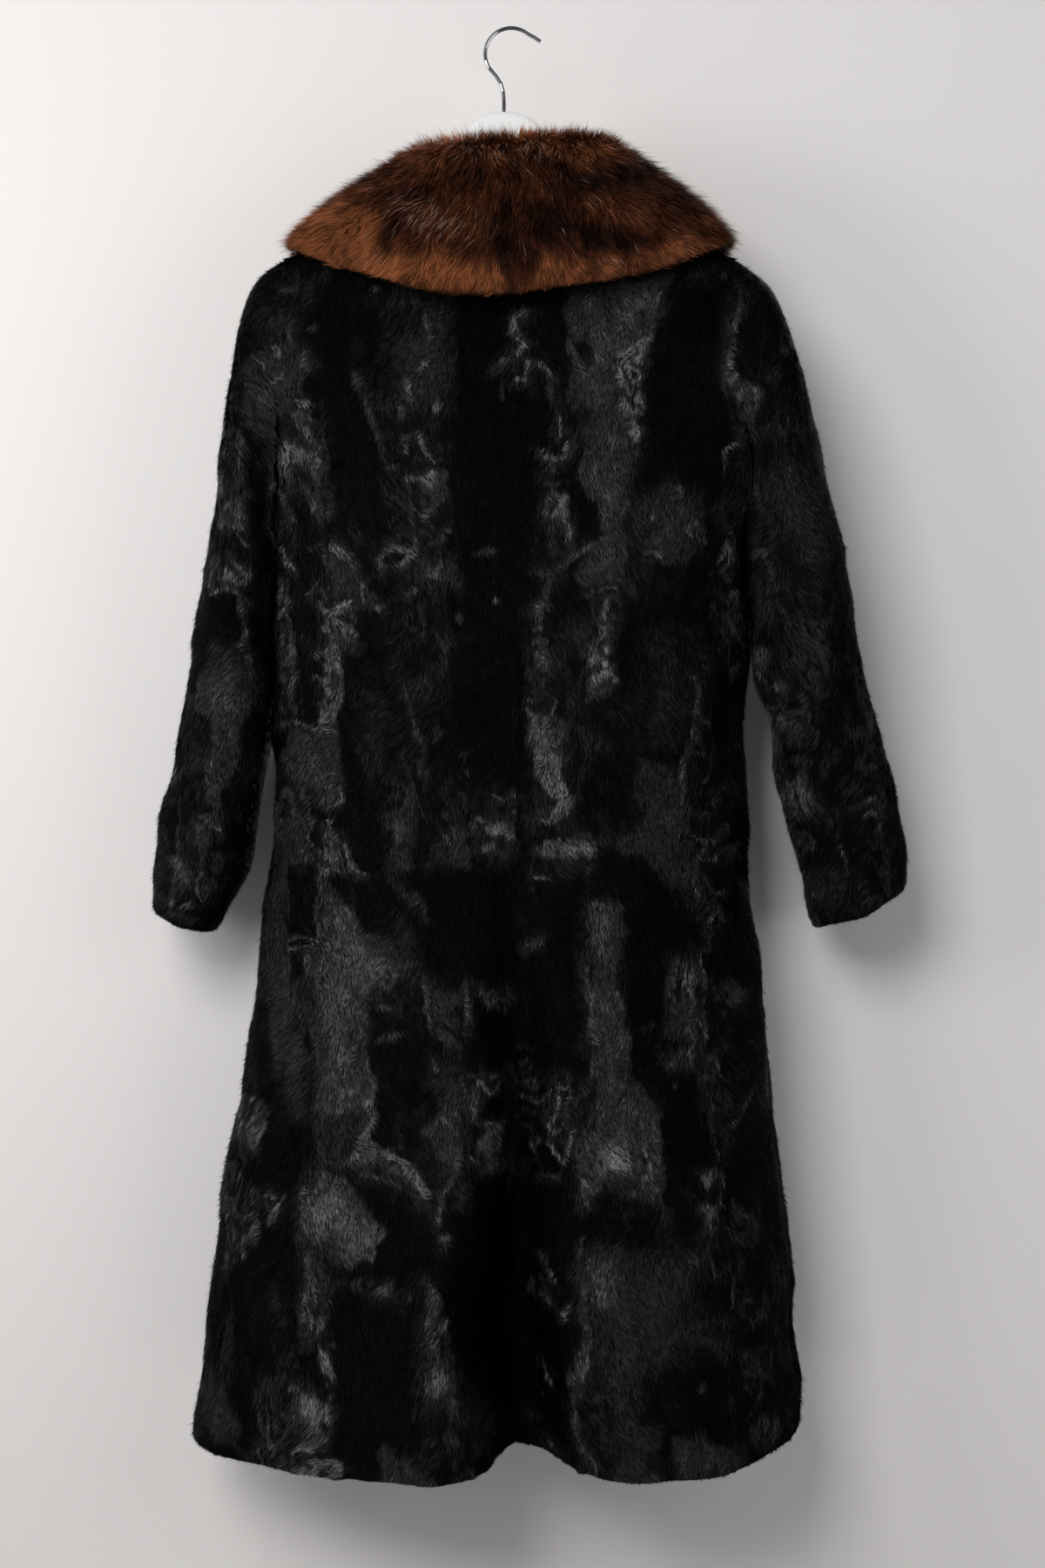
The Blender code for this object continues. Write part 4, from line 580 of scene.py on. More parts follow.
# Narrow curls of painted sheen: half width, value, then x and z of each point.
CURL_ROWS: tuple[tuple[float, ...], ...] = (
    (1.7, 36, -195, -231, -192, -247),
    (3.7, 50, -193, -234, -191, -266, -188, -287, -186, -309, -193, -326),
    (4.6, 37, 193, -236, 186, -238), (3, 50, -130, -240, -122, -250),
    (4.7, 62, -12, -255, -3, -263, -6, -275, -10, -285, -2, -292, 7, -296),
    (4.5, 46, 74, -255, 67, -277, 74, -290, 65, -298),
    (4.8, 35, 186, -267, 183, -283, 174, -291, 172, -305),
    (5.2, 60, -115, -277, -100, -290, -91, -300, -92, -320, -97, -337, -104, -354, -107, -363),
    (2.7, 22, -228, -277, -233, -292), (4.8, 40, 197, -284, 191, -298, 193, -308, 202, -315),
    (3.5, 40, 213, -295, 207, -303), (4.9, 46, 71, -298, 89, -320, 84, -330),
    (3, 70, -14, -300, -12, -313, -4, -313), (3.2, 50, -27, -300, -36, -309),
    (4.1, 28, 132, -309, 119, -341, 110, -367, 102, -388),
    (3.5, 44, 238, -326, 239, -352, 241, -369, 244, -390, 244, -409),
    (3.2, 48, 181, -329, 172, -332, 178, -336), (4.8, 34, 215, -336, 217, -352, 213, -356),
    (1.5, 48, 229, -337, 226, -343),
    (5.3, 40, 179, -343, 174, -356, 165, -367, 168, -381, 164, -396, 160, -422),
    (1.7, 24, -242, -343, -247, -360), (2.8, 55, -40, -345, -40, -360),
    (1.7, 55, -191, -365, -180, -375, -179, -388), (4.8, 17, 158, -365, 153, -381, 148, -422),
    (3, 37, 227, -365, 225, -375), (5.7, 48, 191, -366, 194, -381, 194, -396, 200, -403),
    (3.2, 62, -47, -367, -44, -380, -36, -382, -28, -375),
    (3.5, 36, 241, -369, 227, -380, 222, -395, 226, -409, 224, -429),
    (1.7, 45, -106, -371, -101, -388), (2.8, 50, -28, -375, -36, -391),
    (2.8, 42, 87, -375, 87, -363, 78, -360, 71, -375, 61, -382),
    (2.7, 35, -204, -392, -209, -411, -212, -422),
    (4.1, 42, 84, -395, 65, -395, 61, -412, 69, -427, 71, -433),
    (3, 42, 84, -395, 82, -427, 80, -455), (2.4, 32, -27, -403, -40, -403),
    (2.3, 42, 181, -403, 170, -399), (3.9, 42, 246, -404, 240, -416, 241, -432, 237, -438),
    (3.9, 40, 170, -404, 161, -416, 156, -435), (3.9, 37, 231, -406, 228, -426, 224, -438),
    (2.2, 37, 192, -406, 187, -420, 184, -432), (3, 32, 192, -407, 186, -429),
    (1.8, 27, 210, -409, 207, -429), (1.9, 43, 209, -410, 200, -404, 193, -404),
    (1.7, 42, -98, -416, -94, -429), (2.4, 34, -179, -421, -183, -431, -188, -438),
    (4.3, 36, -179, -425, -186, -438, -186, -459),
    (3, 50, -29, -427, -29, -414, -40, -414, -44, -427, -49, -440, -47, -449),
    (3.2, 42, -154, -427, -163, -449), (4.3, 48, -120, -429, -135, -425, -143, -416, -141, -403),
    (2.2, 48, 209, -432, 203, -441, 201, -447), (2.5, 54, 243, -435, 226, -438),
    (2.8, 42, 53, -440, 61, -449, 74, -455), (2.2, 37, 228, -444, 221, -454),
    (3.2, 60, 195, -451, 190, -461, 183, -468),
    (3.1, 48, 147, -452, 141, -460, 132, -469, 125, -483, 125, -494, 118, -503, 110, -508),
    (3.9, 58, -68, -453, -53, -464, -44, -470, -40, -476, -29, -476),
    (2.5, 32, 166, -454, 158, -451, 155, -455),
    (3.7, 52, 84, -455, 97, -453, 108, -464, 106, -472, 93, -468, 83, -461),
    (3.2, 52, -113, -457, -126, -461), (2.7, 48, -215, -459, -220, -476, -225, -490),
    (2.5, 43, 155, -461, 153, -472),
    (3.7, 38, 200, -463, 197, -488, 190, -500, 187, -517, 186, -540, 186, -559),
    (2.1, 48, -93, -468, -98, -483), (1.9, 30, 80, -470, 78, -491),
    (3.1, 58, 229, -472, 223, -477, 224, -485),
    (4.3, 38, -36, -481, -27, -496, -23, -513, -27, -522), (2.4, 32, 39, -487, 50, -481, 71, -479),
    (1.9, 43, 156, -488, 152, -495), (2.2, 54, 254, -491, 240, -489, 226, -495, 220, -502),
    (1.9, 43, 170, -492, 167, -488, 161, -481), (2.4, 40, -60, -494, -90, -489),
    (1.5, 40, -287, -499, -284, -507, -285, -513), (3.9, 38, 226, -500, 227, -529),
    (3.1, 64, 158, -500, 156, -508, 147, -511, 139, -502, 133, -500),
    (1.8, 30, -228, -504, -234, -517, -236, -530), (2.8, 25, 74, -506, 71, -530),
    (3.4, 42, -180, -511, -182, -496, -191, -487, -194, -513, -186, -522),
    (2.8, 58, 147, -512, 155, -522, 150, -528),
    (5.2, 60, -79, -513, -75, -530, -68, -541, -66, -554, -75, -564),
    (3.1, 58, 146, -519, 135, -520, 132, -525), (3.2, 32, 63, -522, 54, -543),
    (2.5, 27, 82, -523, 73, -528), (1.3, 54, -203, -523, -205, -535),
    (1.5, 58, 184, -529, 178, -528), (2.8, 35, 60, -531, 54, -543),
    (2.4, 42, -21, -534, -32, -532, -29, -547, -21, -558), (1.9, 48, 231, -534, 224, -533),
    (3.1, 48, 147, -536, 147, -550, 146, -556), (2.9, 46, -206, -536, -216, -542, -217, -555),
    (4.3, 32, 187, -540, 184, -571, 181, -593), (2.5, 54, 163, -543, 153, -540, 147, -536),
    (2.5, 28, -291, -547, -294, -558), (1.4, 42, -157, -552, -165, -555),
    (1.8, 33, -235, -552, -240, -550),
    (2, 43, -154, -562, -159, -573, -157, -585, -154, -598, -159, -612),
    (2.2, 54, 161, -563, 156, -571, 150, -579), (1.5, 34, -246, -564, -253, -571),
    (1.5, 42, 91, -565, 84, -590, 82, -604, 76, -621), (1.4, 22, 271, -577, 277, -609, 280, -635),
    (2.5, 28, -228, -580, -234, -593, -246, -593, -251, -585, -246, -577),
    (2.9, 27, -22, -581, -32, -582),
    (2.5, 46, -38, -584, -36, -592, -31, -599, -28, -610, -32, -620, -38, -623, -39, -605),
    (1.8, 32, -217, -584, -221, -589), (2.2, 48, 158, -585, 150, -585, 147, -584),
    (2.5, 48, 158, -587, 156, -602, 147, -611), (1.8, 30, -251, -587, -255, -606),
    (1.7, 34, -157, -591, -165, -602), (3.2, 43, 193, -601, 178, -602, 166, -607, 155, -610),
    (4.3, 32, 184, -602, 180, -618, 169, -627), (1.7, 30, -255, -602, -258, -609, -259, -621),
    (1.5, 38, -218, -603, -225, -604, -227, -613),
    (1.5, 38, -217, -603, -223, -606, -228, -615, -233, -624, -230, -630, -223, -626),
    (3.2, 34, -149, -620, -146, -641, -146, -663), (1.7, 32, -161, -625, -168, -627),
    (3.2, 45, 169, -627, 150, -630, 149, -622), (2.3, 32, -32, -628, -39, -636),
    (3.3, 37, -21, -630, -28, -639, -32, -649), (1.9, 43, 77, -633, 71, -642),
    (1.4, 32, 282, -638, 284, -665, 286, -679),
    (1.4, 43, 186, -639, 178, -653, 169, -686, 169, -705, 159, -714),
    (2.5, 43, 159, -645, 149, -643, 150, -653, 156, -654), (2, 27, -167, -646, -161, -652),
    (2.2, 46, -248, -647, -244, -653, -239, -659, -233, -657),
    (2.2, 45, 163, -666, 159, -665, 155, -673, 144, -666, 144, -656),
    (2.2, 45, 13, -666, 7, -668, -2, -660),
    (4.3, 38, -144, -666, -142, -687, -142, -706, -149, -724, -149, -738),
    (2.3, 32, -170, -669, -175, -663), (1.7, 32, -171, -670, -177, -667),
    (2.7, 26, 297, -672, 290, -668), (1.8, 43, 187, -673, 184, -677, 186, -685),
    (3.5, 38, 253, -677, 253, -689), (2.6, 32, -159, -679, -167, -677),
    (2, 37, -16, -680, -26, -683, -38, -684), (2, 35, -42, -684, -52, -674, -54, -666),
    (2, 36, 285, -685, 283, -702, 282, -711), (2.5, 45, 156, -686, 147, -697, 136, -708, 130, -722),
    (1, 38, -276, -687, -278, -701, -284, -720, -289, -730),
    (3.2, 48, 32, -690, 24, -685, 10, -691, -2, -697), (2, 43, -67, -695, -71, -703),
    (1.6, 40, -155, -696, -162, -699, -173, -697, -178, -692, -184, -687),
    (4.6, 22, -319, -697, -323, -721, -325, -746), (2.8, 35, -241, -701, -250, -704, -258, -707),
    (3.9, 48, 24, -705, 13, -710, 4, -713), (1.4, 37, -73, -705, -76, -715, -67, -724),
    (1.6, 37, -157, -713, -164, -716, -173, -716, -183, -708, -193, -702),
    (1.8, 38, 161, -714, 155, -710, 158, -702),
    (2.2, 38, 189, -714, 179, -719, 173, -716, 175, -711),
    (1.9, 43, -154, -716, -157, -726, -154, -738, -158, -752, -164, -754),
    (2.2, 24, 69, -720, 65, -705, 53, -696, 41, -694), (1.3, 30, -177, -720, -186, -713),
    (2.4, 34, 265, -726, 270, -741, 268, -751),
    (1.7, 54, 158, -728, 149, -725, 136, -728, 130, -725, 121, -726),
    (3.2, 38, 159, -730, 158, -742, 161, -750, 158, -760),
    (2, 40, -162, -731, -167, -741, -170, -747, -178, -741),
    (1.4, 70, -21, -733, -29, -731, -34, -733), (2.8, 35, -250, -737, -260, -746, -267, -750),
    (1.7, 42, -203, -738, -204, -752, -210, -767), (3.9, 42, 78, -750, 70, -757),
    (1.8, 40, -309, -750, -306, -757),
    (1.6, 44, -164, -754, -174, -760, -171, -765, -167, -774, -168, -784, -168, -793, -161, -793),
    (2, 38, -61, -765, -65, -755, -73, -752, -83, -752), (1.7, 36, -65, -767, -64, -789, -67, -803),
    (1.5, 45, 187, -785, 183, -782, 166, -783, 166, -790, 186, -791, 187, -785),
    (2.2, 48, -16, -788, -22, -783), (1.7, 43, -15, -789, -19, -784),
    (2.6, 38, -158, -796, -161, -810),
    (4.8, 38, -141, -802, -149, -800, -149, -818, -145, -829, -151, -836, -152, -861, -148, -883),
    (3.7, 43, -64, -808, -70, -840, -68, -862, -75, -883, -73, -918, -60, -948, -60, -973, -64,
     -997), (3.7, 42, 114, -810, 119, -825), (2.6, 42, -64, -810, -65, -832, -71, -847, -70, -858),
    (2.8, 37, 71, -815, 69, -840, 67, -853), (2, 34, -161, -818, -162, -854, -164, -883),
    (2.8, 42, 37, -819, 35, -847, 39, -860),
    (1.7, 35, -170, -823, -175, -835, -186, -838, -194, -826),
    (3.4, 45, 24, -825, 18, -836, 5, -836), (2.6, 34, -131, -828, -138, -842),
    (4.1, 45, 125, -845, 129, -862, 129, -883),
    (1.6, 38, -158, -871, -163, -886, -164, -912, -169, -942, -175, -968, -176, -990, -179, -1005),
    (1.3, 28, -10, -874, -21, -874), (1.3, 38, -172, -877, -175, -896, -181, -903),
    (3.2, 47, 65, -883, 61, -890), (1.5, 38, -12, -885, -19, -888, -15, -892),
    (1.2, 37, -13, -886, -18, -890), (2.1, 38, -218, -886, -218, -909, -221, -930),
    (2.8, 48, 33, -892, 22, -890, 9, -896), (1.7, 42, -12, -903, -21, -900, -23, -907, -15, -907),
    (3.7, 42, 30, -905, 28, -931, 24, -935, 9, -937),
    (4.9, 52, 138, -916, 116, -916, 112, -926, 119, -946, 123, -961, 134, -969, 153, -976),
    (1.7, 52, -10, -916, -23, -918, -34, -907, -45, -903, -51, -907, -49, -926, -38, -941, -32,
     -937, -43, -918, -43, -900), (2.1, 38, -173, -918, -182, -917), (2.8, 54, 58, -920, 56, -931),
    (1.5, 34, -10, -926, -25, -926), (1.5, 30, -10, -939, -19, -939),
    (2.6, 60, -54, -941, -49, -965, -43, -963, -34, -954),
    (2.4, 37, -178, -944, -185, -941, -194, -933, -200, -924, -209, -911),
    (5.6, 54, 119, -946, 103, -956, 86, -967, 73, -982, 67, -991),
    (1.9, 44, -24, -946, -28, -950, -22, -951), (3.2, 37, 39, -948, 48, -980),
    (1.5, 34, -19, -948, -24, -965, -15, -971), (2.8, 42, 33, -958, 24, -967),
    (1.8, 24, -222, -960, -227, -975, -228, -987), (3.2, 42, 138, -969, 112, -976, 91, -984),
    (3.1, 42, -154, -975, -163, -977, -172, -974), (1.9, 42, -28, -976, -43, -978),
    (2.1, 42, 37, -984, 39, -999), (4.5, 42, 170, -991, 172, -1004),
    (2.4, 38, 204, -995, 192, -1001, 196, -1019, 200, -1016, 207, -999, 204, -995),
    (1.8, 34, -188, -1002, -191, -1008, -195, -1010), (3.2, 42, 58, -1012, 52, -986, 46, -980),
    (1.3, 37, -181, -1014, -182, -1029, -185, -1038),
    (1.8, 33, -194, -1014, -203, -1016, -201, -1029, -189, -1036),
    (3.3, 38, 244, -1015, 215, -1019, 215, -1033),
    (1.6, 43, -172, -1023, -166, -1032, -163, -1042, -166, -1053, -170, -1063, -176, -1062, -183,
     -1053), (2.4, 34, -58, -1025, -55, -1044), (6.4, 45, 166, -1044, 166, -1077, 172, -1107),
    (4.1, 38, -64, -1044, -58, -1072, -66, -1098, -62, -1132), (2.1, 37, -148, -1045, -155, -1039),
    (2.6, 55, -28, -1047, -38, -1062), (1.5, 44, -183, -1051, -188, -1072, -189, -1093),
    (2, 20, -229, -1056, -225, -1095, -224, -1118), (1.8, 37, -191, -1059, -198, -1054),
    (5.2, 36, 65, -1064, 61, -1077, 65, -1102, 61, -1124), (2.1, 40, -28, -1068, -36, -1083),
    (1.9, 50, -50, -1081, -47, -1094), (1.3, 32, -201, -1087, -210, -1086),
    (1.2, 27, -204, -1095, -215, -1095), (1.3, 42, -66, -1095, -66, -1125),
    (3.6, 32, -64, -1108, -65, -1121, -60, -1141, -57, -1161, -57, -1185, -65, -1203),
    (2, 24, -199, -1131, -216, -1125), (1.6, 50, -28, -1138, -34, -1151),
    (6, 28, 49, -1141, 47, -1159, 51, -1181, 46, -1206), (1.5, 30, -193, -1144, -203, -1146),
    (2, 18, -216, -1144, -220, -1161), (2.2, 38, 173, -1155, 180, -1166, 182, -1177),
    (2.5, 43, 149, -1157, 151, -1199),
    (1.5, 45, -57, -1161, -57, -1190, -69, -1208, -73, -1218, -77, -1234),
    (1.6, 38, -181, -1170, -183, -1164), (1.3, 26, -201, -1177, -212, -1164),
    (3.3, 14, -13, -1187, -23, -1192), (1.3, 42, -31, -1206, -41, -1219, -57, -1228, -73, -1234),
    (2.2, 33, 20, -1208, 13, -1195), (3.3, 40, 36, -1215, 31, -1234),
    (2.7, 42, 166, -1217, 149, -1221, 137, -1228, 126, -1232), (2.2, 40, 40, -1217, 49, -1232),
    (2.7, 46, 184, -1221, 166, -1214, 149, -1210, 142, -1212),
)
ZONES = tuple(Zone.from_row(row) for row in ZONE_ROWS)
SPOTS = tuple(Patch.from_row(row) for row in SPOT_ROWS)
CURLS = tuple(Stroke.from_row(row) for row in CURL_ROWS)

# Tone of the mink: x, z, half width, half height, lean, tone from 0 (darkest) to 1 (palest).
# Rows along the crown, near z -111 to -147 mm, carry painted light where the top of the fold
# catches the lamp, over the mink's own tone.
MINK_ROWS: tuple[tuple[float, ...], ...] = (
    (143, -182, 40, 22, 0, 71), (107, -209, 40, 13, 10, 67), (45, -222, 49, 11, 6, 63),
    (169, -187, 18, 18, 0, 63), (63, -120, 27, 9, 0, 55), (89, -133, 18, 10, 25, 42),
    (109, -153, 18, 8, 35, 38), (143, -162, 18, 7, 35, 44), (76, -151, 19, 10, 25, 20),
    (93, -175, 6, 20, 0, 18), (27, -138, 27, 11, 0, 30), (63, -175, 27, 13, 0, 44),
    (27, -180, 17, 22, 0, 40), (-22, -111, 18, 6, 0, 57), (-57, -115, 27, 8, 0, 56),
    (-79, -125, 22, 7, -10, 39), (1, -191, 7, 33, 0, 8), (-24, -147, 18, 18, 0, 30),
    (-57, -138, 27, 18, 0, 19), (-97, -129, 18, 13, -20, 12), (-39, -173, 22, 13, 0, 20),
    (-57, -192, 42, 8, 0, 10), (-13, -211, 6, 13, 0, 12), (-75, -167, 24, 10, 20, 42),
    (-97, -153, 8, 11, 0, 28), (-111, -171, 13, 10, 0, 39), (-137, -160, 18, 13, -30, 26),
    (-161, -180, 18, 12, -30, 44), (-101, -214, 53, 8, -5, 49), (-57, -220, 27, 8, -3, 53),
    (-30, -225, 13, 6, 0, 56), (-155, -199, 27, 8, -12, 48), (-184, -189, 9, 11, -30, 49),
    (-4, -229, 8, 8, 0, 40), (-119, -142, 16, 7, -30, 30), (18, -120, 18, 8, 0, 49),
)
# Where pale hairs show through the mink, partly pale guard hairs and partly painted sheen where the
# fold catches the light.
PALE_SHEEN_ROWS: tuple[tuple[float, ...], ...] = (
    (60, -175, 24, 11, 20, 100), (93, -171, 5, 11, 0, 45), (85, -162, 6, 6, 0, 35),
    (-62, -160, 6, 7, 0, 40), (-89, -171, 2, 8, 0, 35), (-81, -211, 10, 3, 0, 35),
    (103, -206, 18, 4, -15, 35), (-22, -112, 18, 6, 0, 62), (23, -116, 27, 6, 0, 50),
    (-101, -122, 13, 5, 0, 35),
)
MINK_PATCHES = tuple(Patch.from_row(row) for row in MINK_ROWS)
PALE_SHEEN_PATCHES = tuple(Patch.from_row(row) for row in PALE_SHEEN_ROWS)


# Noises of the pile, the mink and the small bulges.
WANDER_X = Lumps((0.015, 0.018, 0.017), 5)
WANDER_X_FINE = Lumps((0.0045, 0.005, 0.006), 6)
WANDER_Z = Lumps((0.015, 0.018, 0.019), 7)
BROAD_LUMPS = Lumps((0.050, 0.060, 0.090), 21)
FINE_LUMPS = Lumps((0.006, 0.006, 0.009), 22)
MIDDLE_LUMPS = Lumps((0.013, 0.020, 0.022), 28)
LAY_WIDE = Lumps((0.05, 0.05, 0.06), 31)
LAY_CLOSE = Lumps((0.009, 0.009, 0.010), 32)
TUFTS = Lumps((0.005, 0.005, 0.008), 41)
LOOSE_RIMS = Lumps((0.030, 0.030, 0.036), 51)
MINK_SHIFT_X = Lumps((0.018, 0.018, 0.018), 51)
RIM_SHIFT = Lumps((0.012, 0.012, 0.015), 52)
MINK_TONE = Lumps((0.013, 0.013, 0.018), 52)
MINK_WANDER = Lumps((0.02, 0.02, 0.02), 53)
MINK_CLOSE = Lumps((0.006, 0.006, 0.006), 54)
GUARD_TUFTS = Lumps((0.005, 0.005, 0.005), 55)
UNDER_TUFTS = Lumps((0.004, 0.004, 0.005), 56)
PALE_SHIFT = Lumps((0.015, 0.015, 0.015), 57)
MINK_SHIFT_Z = Lumps((0.018, 0.018, 0.018), 58)
MINK_TONE_FINE = Lumps((0.005, 0.005, 0.008), 59)
WAVE_SWAY_X = Lumps((0.022, 0.022, 0.030), 61)
WAVE_SWAY_Z = Lumps((0.022, 0.022, 0.030), 62)
WAVE_SHEEN_PHASE = Lumps((0.017, 0.030, 0.030), 63)
WAVE_SHEEN_PHASE_FINE = Lumps((0.008, 0.020, 0.013), 64)
FRONT_DRIFT = Lumps((0.3, 9, 0.3), 71)
CURL_SWELL = Lumps((0.010, 0.010, 0.012), 81)
CURL_LIGHT = Lumps((0.009, 0.009, 0.012), 82)
SPOT_LIGHT = Lumps((0.007, 0.007, 0.010), 83)
BESIDE_CURLS = Lumps((0.02, 0.02, 0.025), 84)
RUMPLE_WIDE = tuple(Lumps((0.034, 0.050, 0.040), 90 + axis) for axis in range(3))
RUMPLE_CLOSE = tuple(Lumps((0.013, 0.020, 0.014), 93 + axis) for axis in range(3))


@dataclass(frozen=True)
class Watering:
    """How bright the black pile's painted sheen is and which way it lies, from place to place."""

    # ground: painted sheen of the whole pile; drift: how much that painted sheen varies in broad
    # lumps.
    ground: float = 0.020
    drift: float = 0.11
    front_shift: float = -0.118
    front_from: float = -0.012  # on pieces that go round, what lies ahead of this y is the front
    sway: float = 0.045
    crests: float = 3.2
    wander: float = 0.006
    fine_wander: float = 0.004
    # Areas whose painted sheen is above this value get a painted highlight along their rim.
    highlight_rim_value: float = 0.2  # areas that shine more than this have a brighter rim

    def as_on_back(self, places: np.ndarray, face: Face) -> np.ndarray:
        """Give the places at which the shapes are looked up.

        Args:
            places: points on the coat.
            face: the side they lie on.

        Returns:
            The points with the front's laid over the back, mirrored and moved down.
        """
        moved = places.copy()
        if face is Face.FRONT:
            ahead = np.ones(len(places), bool)
        elif face is Face.BACK:
            ahead = np.zeros(len(places), bool)
        else:
            ahead = places[:, 1] < self.front_from
        moved[ahead, 0] *= -1
        moved[ahead, 2] += self.front_shift * (0.5 - noise(places[ahead], FRONT_DRIFT))
        return moved

    @staticmethod
    def _near(
        shapes: tuple[Patch | Stroke | Zone, ...], x: np.ndarray, z: np.ndarray
    ) -> Iterator[tuple[int, Patch | Stroke | Zone, np.ndarray]]:
        """Give each shape with its number and the places that it can reach.

        Args:
            shapes: the shapes.
            x: the places' x.
            z: their z.

        Yields:
            Number, shape and the indices of the places, for each shape that reaches any.
        """
        for number, shape in enumerate(shapes):
            left, right, low, high = shape.box()
            near = np.nonzero((x > left) & (x < right) & (z > low) & (z < high))[0]
            if len(near):
                yield number, shape, near

    def _waves(self, at: np.ndarray) -> np.ndarray:
        """Give the watered waves of the pile's painted sheen: a slow rise to a bright crest, then a
        sharp fall.

        Args:
            at: the places.

        Returns:
            One strength of painted sheen for each place, 0 to 1.
        """
        sway = np.zeros_like(at)
        sway[:, 0] = noise(at, WAVE_SWAY_X) - 0.5
        sway[:, 2] = noise(at, WAVE_SWAY_Z) - 0.5
        moved = at + sway * self.sway
        # The waves' phase: the painted sheen brightens slowly up to each crest and drops sharply
        # after it.
        height = noise(moved, WAVE_SHEEN_PHASE) * 0.65
        height = (height + noise(moved, WAVE_SHEEN_PHASE_FINE) * 0.35) * self.crests
        part = height - np.floor(height)
        return smoothstep(0, 0.75, part) * (1 - smoothstep(0.86, 0.98, part))

    def _areas(self, at: np.ndarray, x: np.ndarray, z: np.ndarray) -> np.ndarray:
        """Give the painted sheen of the broad areas, with a painted highlight along some of their
        rims.

        Args:
            at: the places.
            x: their x once wandered.
            z: their z once wandered.

        Returns:
            One value for each place.
        """
        middle = noise(at, MIDDLE_LUMPS)
        fine = noise(at, FINE_LUMPS)
        lumps = noise(at, BROAD_LUMPS)
        total = self.ground + self.drift * smoothstep(0.25, 0.85, lumps * 0.6 + middle * 0.4)
        loose = smoothstep(0.48, 0.78, noise(at, LOOSE_RIMS))
        shift = (noise(at, RIM_SHIFT) - 0.5) * 0.010
        calm = np.full(len(x), 0.5)
        for _, zone, near in self._near(ZONES, x, z):
            depth = zone.depth(x[near], z[near]) + shift[near]
            soft = zone.soft * 0.5 + 0.0006 + loose[near] * 0.010
            share = np.clip((depth + soft) / (2 * soft), 0, 1)
            share = share * share * (3 - 2 * share)
            value = zone.value * (0.75 + 0.45 * smoothstep(0.0, 0.020, depth))
            # A painted highlight just inside the rim of the brighter areas.
            if zone.value > self.highlight_rim_value:
                rim = np.exp(-(((depth - 0.003) / 0.003) ** 2))
                value = value * (1 + 0.35 * rim * (1 - loose[near]))
            total[near] = total[near] * (1 - share) + value * share
            calm[near] = calm[near] * (1 - share) + zone.broad * share
        waves = self._waves(at)
        watered = calm * (0.90 + 0.20 * waves) + (1 - calm) * (0.30 + 1.35 * waves)
        even = 0.70 + 0.25 * fine + 0.35 * middle
        uneven = 0.45 + 0.45 * fine + 0.75 * middle
        return total * (calm * even + (1 - calm) * uneven) * watered

    def _curls(
        self, at: np.ndarray, x: np.ndarray, z: np.ndarray
    ) -> tuple[np.ndarray, np.ndarray]:
        """Give the painted sheen of the narrow curls and of the pile close to them.

        Args:
            at: the places.
            x: their x once wandered.
            z: their z once wandered.

        Returns:
            The curls' painted sheen and how close a curl is, both 0 to 1.
        """
        curl, around = np.zeros(len(x)), np.zeros(len(x))
        swell = 0.55 + 0.9 * noise(at, CURL_SWELL)
        light = 0.35 + 1.25 * noise(at, CURL_LIGHT)
        for number, stroke, near in self._near(CURLS, x, z):
            far, side = stroke.offset(x[near], z[near])
            half = stroke.half * swell[near]
            core = 1 - smoothstep(0.35, 1.15, far / half)
            tail = np.exp(-((far / (2.8 * half)) ** 2)) * 0.45
            tail = tail * (side > 0 if number % 2 else side < 0)
            curl[near] = np.maximum(curl[near], stroke.value * light[near] * np.maximum(core, tail))
            around[near] = np.maximum(around[near], stroke.value * np.exp(-((far / 0.010) ** 2)))
        return curl, around

    def _spots(self, at: np.ndarray, x: np.ndarray, z: np.ndarray) -> np.ndarray:
        """Give the painted glints of the small shining places.

        Args:
            at: the places.
            x: their x once wandered.
            z: their z once wandered.

        Returns:
            One value for each place.
        """
        total = np.zeros(len(x))
        light = 0.4 + 0.9 * noise(at, SPOT_LIGHT)
        for _, spot, near in self._near(SPOTS, x, z):
            share = 1 - smoothstep(0.45, 1.2, spot.far(x[near], z[near]))
            total[near] = np.maximum(total[near], spot.value * light[near] * share)
        return total

    def sheen_and_tone(self, places: np.ndarray, face: Face) -> tuple[np.ndarray, np.ndarray]:
        """Give the pile's painted sheen, which sets its hairs' tone, and its curl at each place.

        Args:
            places: points on the coat.
            face: the side they lie on.

        Returns:
            Painted sheen and curl, both 0 to 1.
        """
        at = self.as_on_back(places, face)
        x = at[:, 0] + (noise(at, WANDER_X) - 0.5) * self.wander
        x = x + (noise(at, WANDER_X_FINE) - 0.5) * self.fine_wander
        z = at[:, 2] + (noise(at, WANDER_Z) - 0.5) * self.wander
        broad = self._areas(at, x, z)
        curl, around = self._curls(at, x, z)
        beside = smoothstep(0.35, 0.7, noise(at, BESIDE_CURLS))
        beside = 0.5 * around * self._waves(at) * beside
        sheen_and_tone = np.maximum.reduce([broad, curl, self._spots(at, x, z), beside])
        return np.clip(sheen_and_tone, 0, 1), np.clip(curl * 1.6, 0, 1)

    def lay(self, places: np.ndarray, normals: np.ndarray, curl: np.ndarray) -> np.ndarray:
        """Give the way the hairs point, along the skin.

        Args:
            places: the hairs' roots.
            normals: the skin's normals there.
            curl: the share of curl there.

        Returns:
            Unit vectors in the skin.
        """
        down = DOWN + normals * 1e-3
        flat = in_surface(down, normals)
        wide = (noise(places, LAY_WIDE) - 0.5) * 1.9
        close = (noise(places, LAY_CLOSE) - 0.5) * (0.7 + 2.6 * curl)
        return turned(flat, normals, wide + close)


# ---------------------------------------------------------------- finishes


